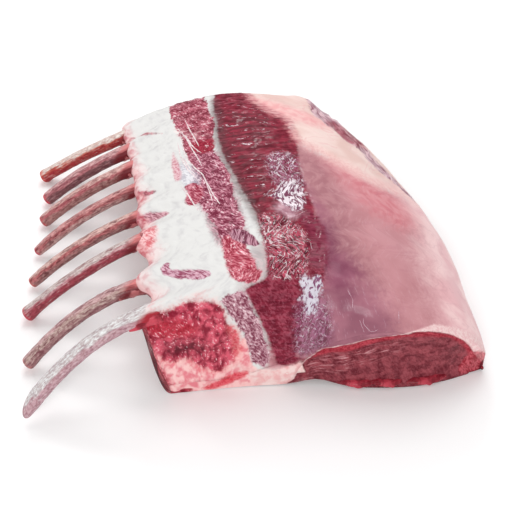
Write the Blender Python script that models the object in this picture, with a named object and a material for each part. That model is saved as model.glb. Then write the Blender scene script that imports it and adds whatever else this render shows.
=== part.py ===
"""Raw frenched rack of lamb: one piece of meat and fat, with eight rib bones let into it.

The rack lies as on a board, outer side up. +X runs from the bone tips towards the backbone,
+Y from the loin end towards the shoulder end, +Z up. The origin is the middle of the rack's
footprint, on the surface that it lies on.
"""

import math
from collections import namedtuple

import bmesh
import bpy
from mathutils import Vector

MM = 0.001

# ---- Driving dimensions -------------------------------------------------------------------
# Along the rack, y is counted from the loin-end cut; across it, x from the line of bone tips.
ORIGIN_X = 93.4 * MM
ORIGIN_Y = 79.5 * MM

MEAT_LENGTH = 167.0 * MM

# Each size below is given at the loin end, at mid-length and at the shoulder end.
FRENCHED_EDGE_X = (48.0 * MM, 51.0 * MM, 45.0 * MM)
BACK_SIDE_X = (187.0 * MM, 182.0 * MM, 148.0 * MM)
BACK_SLOPE_X = (0.45, 0.82)
BACK_SLOPE_Z = ((0.93, 0.93, 0.93), (0.66, 0.66, 0.84))
ROOT_Z = (38.5 * MM, 32.5 * MM, 25.5 * MM)
FAT_OVER_RIB = (4.5 * MM, 6.0 * MM, 4.5 * MM)
CREST_X = (108.0 * MM, 114.0 * MM, 96.0 * MM)
CREST_Z = (49.0 * MM, 51.0 * MM, 44.0 * MM)
BACK_SIDE_Z = (13.0 * MM, 17.0 * MM, 15.0 * MM)

EDGE_ROUNDING = 5.0 * MM
SHOULDER_RISE = 0.6
MEAT_UNDER_RIB = 6.5 * MM
UNDER_EDGE_WIDTH = 12.0 * MM
ARCH_MIDDLE = 0.62
FOOT_WIDTH = 34.0 * MM
FOOT_INSET = 14.0 * MM
FOOT_CORNER = (4.0 * MM, 3.0 * MM)

# Between two ribs the frenched edge is cut back into a rounded web, and the fat sinks a little.
WEB_DEPTH = (6.5 * MM, 2.5 * MM, 1.5 * MM)
WEB_SINK = 1.5 * MM
WEB_REACH = 26.0 * MM

# The loin-end cut: how far the eye bulges forward, and how the top rolls down to the cut. Of
# each pair, the first value holds at the flap under the ribs and the second over the eye.
CUT_Y = 2.0 * MM
EYE_BULGE = 10.0 * MM
EYE_X = 156.0 * MM
EYE_HALF_WIDTH = 38.0 * MM
FRONT_ROLL = (7.5 * MM, 28.0 * MM)
FRONT_EDGE_SHARE = (0.12, 0.72)
EYE_START_X = 80.0 * MM
EYE_START_WIDTH = 70.0 * MM
FLAP_LEAN = 9.0 * MM
FLAP_LEAN_WIDTH = 40.0 * MM
UNDER_ROLL_POWER = 1.5

# The shoulder-end cut is blunter, and rounded off at the ribs.
BACK_ROLL = 12.0 * MM
BACK_EDGE_SHARE = 0.55
BACK_CORNER = 8.0 * MM

# ---- Ribs ---------------------------------------------------------------------------------
# Where the tip ends, where the bone enters the meat, and how strongly the bare part arches.
Rib = namedtuple("Rib", "tip_x tip_y root_y root_z arch width")
RIBS = (
    Rib(0.8 * MM, -3.2 * MM, 8.5 * MM, 38.0 * MM, 0.80, 7.4 * MM),
    Rib(1.0 * MM, 23.6 * MM, 29.0 * MM, 35.8 * MM, 0.90, 7.2 * MM),
    Rib(-1.0 * MM, 52.6 * MM, 55.8 * MM, 36.0 * MM, 0.40, 6.8 * MM),
    Rib(0.0 * MM, 73.2 * MM, 75.4 * MM, 33.6 * MM, 0.49, 6.4 * MM),
    Rib(1.1 * MM, 94.8 * MM, 98.5 * MM, 31.7 * MM, 0.49, 6.2 * MM),
    Rib(3.0 * MM, 117.8 * MM, 118.5 * MM, 29.9 * MM, 0.41, 6.6 * MM),
    Rib(3.8 * MM, 135.8 * MM, 136.5 * MM, 28.1 * MM, 0.35, 6.4 * MM),
    Rib(1.2 * MM, 156.3 * MM, 153.5 * MM, 25.8 * MM, 0.15, 6.6 * MM),
)
RIB_TIP_Z = 2.2 * MM
RIB_THICKNESS_SHARE = 0.72
RIB_BLUNTING = 0.8 * MM
RIB_END_Z = 9.0 * MM
RIB_ENTRY = 42.0 * MM
RIB_SLOPES = (0.3, -0.5)
FIRST_TIP_SLANT = 9.0 * MM
SOCKET_GAP = 0.3 * MM

# ---- Mesh resolution ----------------------------------------------------------------------
ACROSS = 24
FRONT_ROWS = 6
ROWS_PER_GAP = 5
BACK_ROWS = 4
FACE_ROWS = 3
RIB_SIDES = 12
BARE_RINGS = 8
HIDDEN_RINGS = 8


def at_length(sizes, v):
    """Value of a (loin end, middle, shoulder end) size at the share v of the length."""
    near, middle, far = sizes
    return near * (1 - v) * (1 - 2 * v) + middle * 4 * v * (1 - v) + far * v * (2 * v - 1)


def smoothstep(x):
    x = min(1.0, max(0.0, x))
    return x * x * (3 - 2 * x)


def hermite(share, start, end, start_slope, end_slope, span):
    """Height on a cubic between two heights a span apart, with given slopes at both ends."""
    square, cube = share**2, share**3
    return (
        start * (2 * cube - 3 * square + 1)
        + start_slope * span * (cube - 2 * square + share)
        + end * (3 * square - 2 * cube)
        + end_slope * span * (cube - square)
    )


def closed_spline(points, index, share):
    """Catmull-Rom point between points[index] and the next one, on a closed outline."""
    count = len(points)
    before, start, end, after = (points[(index + k) % count] for k in (-1, 0, 1, 2))
    return 0.5 * (
        2 * start
        + (end - before) * share
        + (2 * before - 5 * start + 4 * end - after) * share**2
        + (3 * start - before - 3 * end + after) * share**3
    )


# ---- Meat ---------------------------------------------------------------------------------
def rib_line_z(v, x):
    """Height at which the ribs run through the meat."""
    start = at_length(FRENCHED_EDGE_X, v)
    span = at_length(BACK_SIDE_X, v) - FOOT_INSET - FOOT_WIDTH / 2 - start
    share = min(1.0, (x - start) / span)
    return hermite(share, at_length(ROOT_Z, v), RIB_END_Z, *RIB_SLOPES, span)


def web(v):
    """0 at a rib and outside the row of ribs, rising to 1 halfway between two ribs."""
    y = v * MEAT_LENGTH
    for rib, following in zip(RIBS, RIBS[1:]):
        if rib.root_y < y < following.root_y:
            share = (y - rib.root_y) / (following.root_y - rib.root_y)
            return math.sin(math.pi * share) ** 2
    return 0.0


def section_outline(v):
    """Corner points (x, z) of the meat's section, from the frenched edge over the top and back."""
    straight_edge = at_length(FRENCHED_EDGE_X, v)
    left = straight_edge + at_length(WEB_DEPTH, v) * web(v)
    right = at_length(BACK_SIDE_X, v)
    root_z = at_length(ROOT_Z, v)
    edge_top = root_z + at_length(FAT_OVER_RIB, v) - WEB_SINK * web(v)
    edge_low = root_z - MEAT_UNDER_RIB + WEB_SINK * web(v)
    crest_x = at_length(CREST_X, v)
    crest_z = at_length(CREST_Z, v)
    fall = right - crest_x
    side_z = [at_length(share, v) * crest_z for share in BACK_SLOPE_Z]
    foot_x = right - FOOT_INSET - FOOT_WIDTH
    arch_x = straight_edge + ARCH_MIDDLE * (foot_x - straight_edge)
    under_x = left + UNDER_EDGE_WIDTH
    top = [
        Vector((left, (edge_top + edge_low) / 2)),
        Vector((left + EDGE_ROUNDING, edge_top)),
        Vector((straight_edge + WEB_REACH, edge_top + SHOULDER_RISE * (crest_z - edge_top))),
        Vector((crest_x, crest_z)),
        Vector((crest_x + BACK_SLOPE_X[0] * fall, side_z[0])),
        Vector((crest_x + BACK_SLOPE_X[1] * fall, side_z[1])),
        Vector((right, at_length(BACK_SIDE_Z, v))),
    ]
    under = [
        Vector((right - FOOT_CORNER[0], FOOT_CORNER[1])),
        Vector((right - FOOT_INSET, 0.0)),
        Vector((foot_x, 0.0)),
        Vector((arch_x, rib_line_z(v, arch_x) - MEAT_UNDER_RIB)),
        Vector((under_x, rib_line_z(v, under_x) - MEAT_UNDER_RIB)),
    ]
    return top, under


def section_points(v):
    """ACROSS + 1 matching points over the top and along the underside, edge to back side."""
    top, under = section_outline(v)
    outline = top + under
    spans = len(top) - 1
    low_spans = len(under) + 1
    over, below = [], []
    for i in range(ACROSS + 1):
        place = i / ACROSS * spans
        index = min(int(place), spans - 1)
        over.append(closed_spline(outline, index, place - index))
        place = (1 - i / ACROSS) * low_spans
        index = min(int(place), low_spans - 1)
        below.append(closed_spline(outline, spans + index, place - index))
    return over, [Vector((p.x, max(0.0, p.y))) for p in below]


def row_places():
    """(y at the frenched edge, front roll angle, back roll angle) of each row of points."""
    quarter = math.pi / 2
    start = CUT_Y + FRONT_ROLL[0]
    end = MEAT_LENGTH - BACK_ROLL
    yield from ((start, quarter * k / FRONT_ROWS, quarter) for k in range(FRONT_ROWS))
    stops = [start, *(rib.root_y for rib in RIBS[1:-1]), end]
    for near, far in zip(stops, stops[1:]):
        steps = (near + (far - near) * k / ROWS_PER_GAP for k in range(ROWS_PER_GAP))
        yield from ((y, quarter, quarter) for y in steps)
    yield from ((end, quarter, quarter * (1 - k / BACK_ROWS)) for k in range(BACK_ROWS + 1))


def over_eye(x):
    """0 at the flap under the ribs, 1 over the eye of the loin."""
    return smoothstep((x - EYE_START_X) / EYE_START_WIDTH)


def meat_row(edge_y, front, back):
    """The closed ring of points of one row, as (top points, underside points)."""
    flap_start = CUT_Y + FRONT_ROLL[0]
    end = MEAT_LENGTH - BACK_ROLL
    middle = (edge_y - flap_start) / (end - flap_start)

    def along(x):
        roll = FRONT_ROLL[0] + (FRONT_ROLL[1] - FRONT_ROLL[0]) * over_eye(x)
        cut = CUT_Y - EYE_BULGE * math.exp(-(((x - EYE_X) / EYE_HALF_WIDTH) ** 2))
        y = cut + roll * (1 - math.cos(front))
        return y + (end - cut - roll) * middle + BACK_ROLL * math.cos(back)

    v = min(1.0, max(0.0, along(FRENCHED_EDGE_X[0]) / MEAT_LENGTH))
    over, below = section_points(v)
    left = over[0].x
    lean = FLAP_LEAN * (1 - math.sin(front)) + BACK_CORNER * (1 - math.sin(back))
    top, under = [], []
    for high, low in zip(over, below):
        share = FRONT_EDGE_SHARE[0] + (FRONT_EDGE_SHARE[1] - FRONT_EDGE_SHARE[0]) * over_eye(high.x)
        front_edge = high.y * share
        z = front_edge + (high.y - front_edge) * math.sin(front)
        low_z = low.y * math.sin(front) ** UNDER_ROLL_POWER
        back_edge = low.y + (high.y - low.y) * BACK_EDGE_SHARE
        if back < math.pi / 2:
            z = back_edge + (high.y - back_edge) * math.sin(back)
        top.append(Vector((leaned(high.x, left, lean), along(high.x), z)))
        under.append(Vector((leaned(low.x, left, lean), along(low.x), low_z)))
    return top, under


def leaned(x, left, lean):
    """x moved in from the frenched edge by the lean, which dies out along the flap."""
    return x + lean * (1 - smoothstep((x - left) / FLAP_LEAN_WIDTH))


def build_meat(material, cutter):
    shift = Vector((ORIGIN_X, ORIGIN_Y, 0))
    bm = bmesh.new()
    grid = []
    for place in row_places():
        top, under = meat_row(*place)
        over = [bm.verts.new(p - shift) for p in top]
        below = [over[0], *(bm.verts.new(p - shift) for p in under[1:-1]), over[-1]]
        grid.append((over, below))
    for (over, below), (next_over, next_below) in zip(grid, grid[1:]):
        for i in range(ACROSS):
            bm.faces.new((over[i], over[i + 1], next_over[i + 1], next_over[i]))
            bm.faces.new((below[i + 1], below[i], next_below[i], next_below[i + 1]))
    for over, below in (grid[0], grid[-1]):
        fill_cut(bm, over, below)
    bmesh.ops.recalc_face_normals(bm, faces=bm.faces)
    mesh = bpy.data.meshes.new("meat")
    bm.to_mesh(mesh)
    bm.free()
    mesh.shade_smooth()
    meat = new_object("meat", mesh, material)
    sockets = meat.modifiers.new("sockets", "BOOLEAN")
    sockets.operation = "DIFFERENCE"
    sockets.solver = "EXACT"
    sockets.object = cutter
    return meat


def fill_cut(bm, over, below):
    """Rows of faces that close an end of the meat between its top and its underside."""
    previous = over
    for k in range(1, FACE_ROWS + 1):
        current = below
        if k < FACE_ROWS:
            pairs = zip(over[1:-1], below[1:-1])
            inner = [bm.verts.new(high.co.lerp(low.co, k / FACE_ROWS)) for high, low in pairs]
            current = [over[0], *inner, over[-1]]
        for i in range(ACROSS):
            corners = (previous[i], previous[i + 1], current[i + 1], current[i])
            bm.faces.new(tuple(dict.fromkeys(corners)))
        previous = current


# ---- Ribs ---------------------------------------------------------------------------------
def rib_path(rib):
    """Points along a rib from its bare tip to its end inside the meat."""
    v = rib.root_y / MEAT_LENGTH
    root_x = at_length(FRENCHED_EDGE_X, v)
    end_x = at_length(BACK_SIDE_X, v) - FOOT_INSET - FOOT_WIDTH / 2
    rise = rib.root_z - RIB_TIP_Z
    run = root_x - rib.tip_x
    root_slope = rise * (1 - rib.arch) / run
    points = []
    for k in range(BARE_RINGS):
        share = k / BARE_RINGS
        x = rib.tip_x + run * share
        y = rib.tip_y + (rib.root_y - rib.tip_y) * share
        points.append(Vector((x, y, RIB_TIP_Z + rise * (share + rib.arch * share * (1 - share)))))
    entry_z = rib_line_z(v, root_x + RIB_ENTRY)
    entry_slope = (rib_line_z(v, root_x + RIB_ENTRY + MM) - entry_z) / MM
    swing = (rib.root_y - rib.tip_y) / run
    for k in range(HIDDEN_RINGS + 1):
        x = root_x + (end_x - root_x) * k / HIDDEN_RINGS
        share = min(1.0, (x - root_x) / RIB_ENTRY)
        y = rib.root_y + swing * RIB_ENTRY * (share - share**2 / 2)
        z = rib_line_z(v, x)
        if share < 1:
            z = hermite(share, rib.root_z, entry_z, root_slope, entry_slope, RIB_ENTRY)
        points.append(Vector((x, y, z)))
    return points


def build_rib(bm, rib, gap=0.0):
    """Adds a rib to the bmesh, as a bar of oval section, larger all round by the gap."""
    shift = Vector((ORIGIN_X, ORIGIN_Y, 0))
    path = rib_path(rib)
    half_width = rib.width / 2 + gap
    half_height = rib.width * RIB_THICKNESS_SHARE / 2 + gap
    slant = FIRST_TIP_SLANT if rib is RIBS[0] else 0.0
    rings = []
    for index, point in enumerate(path):
        before, after = path[max(index - 1, 0)], path[min(index + 1, len(path) - 1)]
        tangent = (after - before).normalized()
        side = Vector((-tangent.y, tangent.x, 0)).normalized()
        up = tangent.cross(side)
        centre = point - shift
        if index in (0, len(path) - 1):
            outward = -tangent if index == 0 else tangent
            cut_back = tangent * slant if index == 0 else Vector()
            blunt = 1 - RIB_BLUNTING / half_height
            end = (centre + outward * gap, side, up, cut_back)
            body = (centre - outward * RIB_BLUNTING, side, up, cut_back)
            end_rings = [
                oval(bm, end, half_width * blunt, half_height * blunt),
                oval(bm, body, half_width, half_height),
            ]
            rings += end_rings if index == 0 else end_rings[::-1]
        else:
            rings.append(oval(bm, (centre, side, up, Vector()), half_width, half_height))
    for ring, following in zip(rings, rings[1:]):
        for k in range(RIB_SIDES):
            after = (k + 1) % RIB_SIDES
            bm.faces.new((ring[k], ring[after], following[after], following[k]))
    bm.faces.new(rings[0])
    bm.faces.new(rings[-1])


def oval(bm, place, half_width, half_height):
    """A ring of vertices. The place is its centre, its two axes and how far one side is cut back."""
    centre, side, up, cut_back = place
    ring = []
    for k in range(RIB_SIDES):
        turn = 2 * math.pi * k / RIB_SIDES
        across, high = math.cos(turn), math.sin(turn)
        point = centre + side * across * half_width + up * high * half_height
        ring.append(bm.verts.new(point + cut_back * (1 + across) / 2))
    return ring


def build_ribs(material):
    for number, rib in enumerate(RIBS, start=1):
        bm = bmesh.new()
        build_rib(bm, rib)
        bmesh.ops.recalc_face_normals(bm, faces=bm.faces)
        mesh = bpy.data.meshes.new(f"rib_{number}")
        bm.to_mesh(mesh)
        bm.free()
        mesh.shade_smooth()
        mesh.set_sharp_from_angle(angle=math.radians(50))
        new_object(f"rib_{number}", mesh, material)


def build_socket_cutter():
    bm = bmesh.new()
    for rib in RIBS:
        build_rib(bm, rib, SOCKET_GAP)
    bmesh.ops.recalc_face_normals(bm, faces=bm.faces)
    mesh = bpy.data.meshes.new("socket_cutter")
    bm.to_mesh(mesh)
    bm.free()
    cutter = new_object("socket_cutter", mesh)
    cutter.hide_render = True
    cutter.display_type = "WIRE"
    return cutter


def new_object(name, mesh, material=None):
    obj = bpy.data.objects.new(name, mesh)
    bpy.context.scene.collection.objects.link(obj)
    if material:
        mesh.materials.append(material)
    return obj


def principled(name, colour, roughness):
    material = bpy.data.materials.new(name)
    material.use_nodes = True
    shader = material.node_tree.nodes["Principled BSDF"]
    shader.inputs["Base Color"].default_value = (*colour, 1.0)
    shader.inputs["Roughness"].default_value = roughness
    return material


def main():
    for obj in list(bpy.data.objects):
        bpy.data.objects.remove(obj)
    raw_meat = principled("raw_meat", (0.42, 0.11, 0.13), 0.35)
    bone = principled("bone", (0.52, 0.38, 0.34), 0.45)
    build_meat(raw_meat, build_socket_cutter())
    build_ribs(bone)


main()
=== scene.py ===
import logging
import math
from dataclasses import dataclass, field
from enum import Enum
from typing import Iterable, Sequence

import bpy
import numpy as np
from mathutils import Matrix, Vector


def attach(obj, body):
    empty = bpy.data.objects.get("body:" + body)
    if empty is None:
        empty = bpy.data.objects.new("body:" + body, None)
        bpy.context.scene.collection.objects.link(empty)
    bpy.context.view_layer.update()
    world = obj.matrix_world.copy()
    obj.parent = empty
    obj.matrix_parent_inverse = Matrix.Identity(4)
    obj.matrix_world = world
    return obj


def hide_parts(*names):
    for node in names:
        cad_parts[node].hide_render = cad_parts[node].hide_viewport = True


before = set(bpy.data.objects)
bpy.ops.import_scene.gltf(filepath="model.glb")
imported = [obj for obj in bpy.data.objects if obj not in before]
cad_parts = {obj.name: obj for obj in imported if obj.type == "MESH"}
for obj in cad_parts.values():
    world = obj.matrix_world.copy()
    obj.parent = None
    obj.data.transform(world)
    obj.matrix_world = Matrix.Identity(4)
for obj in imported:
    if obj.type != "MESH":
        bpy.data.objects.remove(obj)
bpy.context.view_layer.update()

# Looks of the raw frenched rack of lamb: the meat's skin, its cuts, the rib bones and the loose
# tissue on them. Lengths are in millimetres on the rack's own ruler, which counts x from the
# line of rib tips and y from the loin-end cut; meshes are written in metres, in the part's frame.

Array = np.ndarray
Sizes = tuple[float, float, float]
Colour = tuple[float, float, float]
Outline = tuple[tuple[float, float], ...]

LOG = logging.getLogger("rack_of_lamb")
MM = 0.001
ORIGIN = np.array((93.4, 79.5, 0.0))
QUARTER = math.pi / 2
BODY = "root"


# ---- Small helpers ------------------------------------------------------------------------
def at_length(sizes: Sizes, v: float) -> float:
    """Value of a size given at the loin end, at mid-length and at the shoulder end.

    Args:
        sizes: the three values.
        v: share of the rack's length, 0 at the loin end.

    Returns:
        The value at v, on a parabola through the three.
    """
    near, middle, far = sizes
    return near * (1 - v) * (1 - 2 * v) + middle * 4 * v * (1 - v) + far * v * (2 * v - 1)


def smoothstep(x: Array) -> Array:
    """Smooth rise from 0 at x = 0 to 1 at x = 1."""
    x = np.clip(x, 0.0, 1.0)
    return x * x * (3 - 2 * x)


def hermite(share: Array, ends: tuple[float, float], slopes: tuple[float, float], span: float) -> Array:
    """Height on a cubic between two ends a span apart.

    Args:
        share: place along the span, 0 to 1.
        ends: the heights at the start and at the end.
        slopes: the slopes there.
        span: the horizontal distance between the two.

    Returns:
        The height at each share.
    """
    square, cube = share**2, share**3
    return (
        ends[0] * (2 * cube - 3 * square + 1)
        + slopes[0] * span * (cube - 2 * square + share)
        + ends[1] * (3 * square - 2 * cube)
        + slopes[1] * span * (cube - square)
    )


def closed_spline(points: Array, places: Array) -> Array:
    """Catmull-Rom points on a closed outline.

    Args:
        points: the outline's corner points, one row each.
        places: where to read, in steps from point to point.

    Returns:
        One row for each place.
    """
    index = np.floor(places).astype(int)
    share = (places - index)[:, None]
    before, start, end, after = (points[(index + k) % len(points)] for k in (-1, 0, 1, 2))
    return 0.5 * (
        2 * start
        + (end - before) * share
        + (2 * before - 5 * start + 4 * end - after) * share**2
        + (3 * start - before - 3 * end + after) * share**3
    )


def linear(colour: Colour) -> tuple[float, float, float, float]:
    """A display colour of 0 to 255 as the linear colour that a shader takes."""
    shares = np.array(colour) / 255
    values = np.where(shares <= 0.04045, shares / 12.92, ((shares + 0.055) / 1.055) ** 2.4)
    return (*(float(value) for value in values), 1.0)


class Lumps:
    """A smooth uneven field in space, the same in every run."""

    def __init__(self, seed: int) -> None:
        """Draws the field's lattice from the seed."""
        self.lattice = np.random.default_rng(seed).uniform(-1, 1, (32, 32, 32))

    def at(self, places: Array, size: Sequence[float], octaves: int = 3) -> Array:
        """Height of the field.

        Args:
            places: points, one row each.
            size: the lumps' size along each axis.
            octaves: how many finer fields are added, each half as large.

        Returns:
            One height a point, mostly within -1 to 1.
        """
        total = np.zeros(len(places))
        for octave in range(octaves):
            scaled = places / np.array(size) * 2**octave + 7.3 * octave
            total += self.single(scaled) * 0.5**octave
        return total

    def single(self, scaled: Array) -> Array:
        """One octave, read between the lattice points around each place."""
        base = np.floor(scaled).astype(int)
        share = smoothstep(scaled - base)
        total = np.zeros(len(scaled))
        for corner in np.ndindex(2, 2, 2):
            weight = np.prod(np.where(np.array(corner), share, 1 - share), axis=1)
            x, y, z = ((base + corner) % 32).T
            total += weight * self.lattice[x, y, z]
        return total


# ---- Areas on the meat --------------------------------------------------------------------
class Plane(Enum):
    """What an area's outline is drawn on."""

    TOP = "x across the rack and y along it, unrolled down over the front"
    FRONT = "x across the rack and z up, on the loin-end cut"
    EDGE = "way in from the frenched edge, and y along it"
    UNDER = "x and y on the underside, from its border inwards"


@dataclass
class Surface:
    """The meat's bare surface, point by point.

    flat holds x and the unrolled y, flow the ways across and along the surface, which run on
    round its borders. inset is how far a point lies behind the loin-end cut, under is 1 on the
    underside, and deep is how far a point of the underside lies in from its border.
    """

    places: Array
    flat: Array
    flow: Array
    inset: Array
    under: Array
    deep: Array
    far: Array
    faces: list[tuple[int, ...]]


@dataclass(frozen=True)
class Area:
    """A closed outline on the meat, softly rounded between its points."""

    outline: Outline
    plane: Plane = Plane.TOP
    reach: float = 6.0
    rounded: bool = True

    def distance(self, surface: Surface) -> Array:
        """Distance of each point from the outline in mm, positive inside."""
        corners = np.array(self.outline, float)
        if self.rounded:
            corners = closed_spline(corners, np.arange(0, len(corners), 1 / 4))
        x, y = surface.flat.T
        if self.plane is Plane.FRONT:
            x, y = surface.places[:, 0], surface.places[:, 2]
        elif self.plane is Plane.EDGE:
            x, y = surface.flow.T
        elif self.plane is Plane.UNDER:
            x, y = surface.places[:, 0], surface.places[:, 1]
        nearest = np.full(len(x), np.inf)
        inside = np.zeros(len(x), bool)
        for (x0, y0), (x1, y1) in zip(corners, np.roll(corners, -1, axis=0)):
            run, rise = x1 - x0, y1 - y0
            square = max(run * run + rise * rise, 1e-9)
            share = np.clip(((x - x0) * run + (y - y0) * rise) / square, 0, 1)
            gap = np.hypot(x - x0 - share * run, y - y0 - share * rise)
            nearest = np.minimum(nearest, gap)
            if rise:
                inside ^= ((y0 > y) != (y1 > y)) & (x < x0 + (y - y0) * run / rise)
        signed = np.where(inside, nearest, -nearest)
        if self.plane is Plane.FRONT:
            signed = np.minimum(signed, self.reach - surface.inset)
        elif self.plane is Plane.UNDER:
            signed = np.minimum(signed, surface.deep - self.reach)
        elif self.plane is Plane.TOP:
            signed = np.where(surface.under > 0.5, -20.0, signed)
        return np.clip(signed, -20, 40)


# ---- The meat's form ----------------------------------------------------------------------
@dataclass
class MeatForm:
    """The meat's bare form: a section drawn along the rack and rolled over at both ends."""

    length: float = 167.0
    frenched_edge_x: Sizes = (48.0, 51.0, 45.0)
    back_side_x: Sizes = (187.0, 182.0, 148.0)
    back_slope_x: tuple[float, float] = (0.45, 0.82)
    back_slope_z: tuple[Sizes, Sizes] = ((0.93, 0.93, 0.93), (0.66, 0.66, 0.84))
    root_z: Sizes = (38.5, 32.5, 25.5)
    fat_over_rib: Sizes = (4.5, 6.0, 4.5)
    crest_x: Sizes = (108.0, 114.0, 96.0)
    crest_z: Sizes = (49.0, 51.0, 44.0)
    back_side_z: Sizes = (13.0, 17.0, 15.0)
    web_depth: Sizes = (6.5, 2.0, 0.5)
    web_sink: float = 1.5
    web_reach: float = 26.0
    edge_rounding: float = 5.0
    shoulder_rise: float = 0.6
    meat_under_rib: float = 6.5
    under_edge_width: float = 12.0
    arch_middle: float = 0.62
    foot_width: float = 34.0
    foot_inset: float = 14.0
    foot_corner: tuple[float, float] = (4.0, 3.0)
    foot_wall: float = 6.0
    rib_end_z: float = 9.0
    rib_slopes: tuple[float, float] = (0.3, -0.5)
    cut_y: float = 2.0
    eye_bulge: float = 10.0
    eye_x: float = 156.0
    eye_half_width: float = 38.0
    front_roll: tuple[float, float] = (7.5, 28.0)
    front_edge_share: tuple[float, float] = (0.12, 0.72)
    eye_start_x: float = 80.0
    eye_start_width: float = 70.0
    flap_lean: float = 10.5
    flap_lean_power: float = 0.7
    flap_lean_width: float = 40.0
    under_roll_power: float = 2.6
    back_roll: float = 12.0
    back_edge_share: float = 0.55
    back_corner: float = 8.0
    root_ys: tuple[float, ...] = (8.5, 29.0, 55.8, 75.4, 98.5, 118.5, 136.5, 153.5)

    front_wrap: float = 9.0
    front_flow: float = -90.0
    first_ring: float = 0.003

    columns: int = 236
    under_share: int = 4
    front_rows: int = 44
    middle_rows: int = 190
    back_rows: int = 12
    front_face_rows: int = 30
    back_face_rows: int = 10
    coarse_from_x: float = 132.0
    coarse_share: float = 0.6

    def rib_line_z(self, v: float, x: Array) -> Array:
        """Height at which the ribs run through the meat."""
        start = at_length(self.frenched_edge_x, v)
        span = at_length(self.back_side_x, v) - self.foot_inset - self.foot_width / 2 - start
        share = np.minimum(1.0, (x - start) / span)
        return hermite(share, (at_length(self.root_z, v), self.rib_end_z), self.rib_slopes, span)

    def web(self, v: float) -> float:
        """0 at a rib, rising to 1 halfway between two ribs."""
        y = v * self.length
        for near, far in zip(self.root_ys, self.root_ys[1:]):
            if near < y < far:
                return math.sin(math.pi * (y - near) / (far - near)) ** 2
        return 0.0

    def outline(self, v: float) -> tuple[Array, int]:
        """The section's corner points.

        Args:
            v: share of the rack's length.

        Returns:
            The points (x, z), over the top and back underneath, and how many are on top.
        """
        straight_edge = at_length(self.frenched_edge_x, v)
        web = self.web(v)
        left = straight_edge + at_length(self.web_depth, v) * web
        right = at_length(self.back_side_x, v)
        root_z = at_length(self.root_z, v)
        edge_top = root_z + at_length(self.fat_over_rib, v) - self.web_sink * web
        edge_low = root_z - self.meat_under_rib + self.web_sink * web
        crest_x = at_length(self.crest_x, v)
        crest_z = at_length(self.crest_z, v)
        fall = right - crest_x
        side_z = [at_length(share, v) * crest_z for share in self.back_slope_z]
        foot_x = right - self.foot_inset - self.foot_width
        arch_x = straight_edge + self.arch_middle * (foot_x - straight_edge)
        under_x = left + self.under_edge_width
        top = [
            (left, (edge_top + edge_low) / 2),
            (left + self.edge_rounding, edge_top),
            (straight_edge + self.web_reach, edge_top + self.shoulder_rise * (crest_z - edge_top)),
            (crest_x, crest_z),
            (crest_x + self.back_slope_x[0] * fall, side_z[0]),
            (crest_x + self.back_slope_x[1] * fall, side_z[1]),
            (right, at_length(self.back_side_z, v)),
        ]
        below = [
            (right - self.foot_corner[0], self.foot_corner[1]),
            (right - self.foot_inset, 0.0),
            (foot_x, 0.0),
            (arch_x, float(self.rib_line_z(v, arch_x)) - self.meat_under_rib),
            (under_x, float(self.rib_line_z(v, under_x)) - self.meat_under_rib),
        ]
        return np.array(top + below), len(top)

    def section(self, v: float) -> tuple[Array, Array, Array]:
        """Points of the section at a share of the length.

        Args:
            v: share of the rack's length.

        Returns:
            Top points, matching underside points, and the top points' way along the outline.
        """
        points, tops = self.outline(v)
        spans, low_spans = tops - 1, len(points) - tops + 1
        fine = np.linspace(0, spans, spans * 40 + 1)[:-1]
        over = np.vstack([closed_spline(points, fine), points[spans]])
        steps = np.hypot(*np.diff(over, axis=0).T)
        way = np.concatenate([[0], np.cumsum(steps)])
        density = np.where(over[:-1, 0] < self.coarse_from_x, 1.0, self.coarse_share)
        weighted = np.concatenate([[0], np.cumsum(steps * density)])
        stops = np.linspace(0, weighted[-1], self.columns + 1)
        top = np.column_stack([np.interp(stops, weighted, over[:, k]) for k in (0, 1)])
        along = np.interp(stops, weighted, way)
        places = spans + np.linspace(low_spans, 0, self.columns + 1)
        below = closed_spline(points, np.minimum(places, len(points) - 1e-6))
        below[0], below[-1] = top[0], top[-1]
        below[:, 1] = np.maximum(0.0, below[:, 1])
        return top, below, along

    def row_places(self) -> Iterable[tuple[float, float, float]]:
        """(y at the frenched edge, front roll angle, back roll angle) of each row of points."""
        start, end = self.cut_y + self.front_roll[0], self.length - self.back_roll
        for k in range(self.front_rows):
            yield start, QUARTER * k / self.front_rows, QUARTER
        for k in range(self.middle_rows):
            yield start + (end - start) * k / self.middle_rows, QUARTER, QUARTER
        for k in range(self.back_rows + 1):
            yield end, QUARTER, QUARTER * (1 - k / self.back_rows)

    def over_eye(self, x: Array) -> Array:
        """0 at the flap under the ribs, 1 over the eye of the loin."""
        return smoothstep((x - self.eye_start_x) / self.eye_start_width)

    def cut(self, x: Array) -> Array:
        """y of the loin-end cut at x."""
        return self.cut_y - self.eye_bulge * np.exp(-(((x - self.eye_x) / self.eye_half_width) ** 2))

    def row(self, edge_y: float, front: float, back: float) -> tuple[Array, Array, Array]:
        """One row of points.

        Args:
            edge_y: y at the frenched edge.
            front: roll angle at the loin end, a right angle where the top is flat.
            back: roll angle at the shoulder end.

        Returns:
            Top points, underside points, and for each top point its flat place and its way
            across and along the surface.
        """
        start, end = self.cut_y + self.front_roll[0], self.length - self.back_roll
        middle = (edge_y - start) / (end - start)

        def along(x: Array) -> Array:
            roll = self.front_roll[0] + (self.front_roll[1] - self.front_roll[0]) * self.over_eye(x)
            cut = self.cut(x)
            y = cut + roll * (1 - math.cos(front))
            return y + (end - cut - roll) * middle + self.back_roll * math.cos(back)

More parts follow.
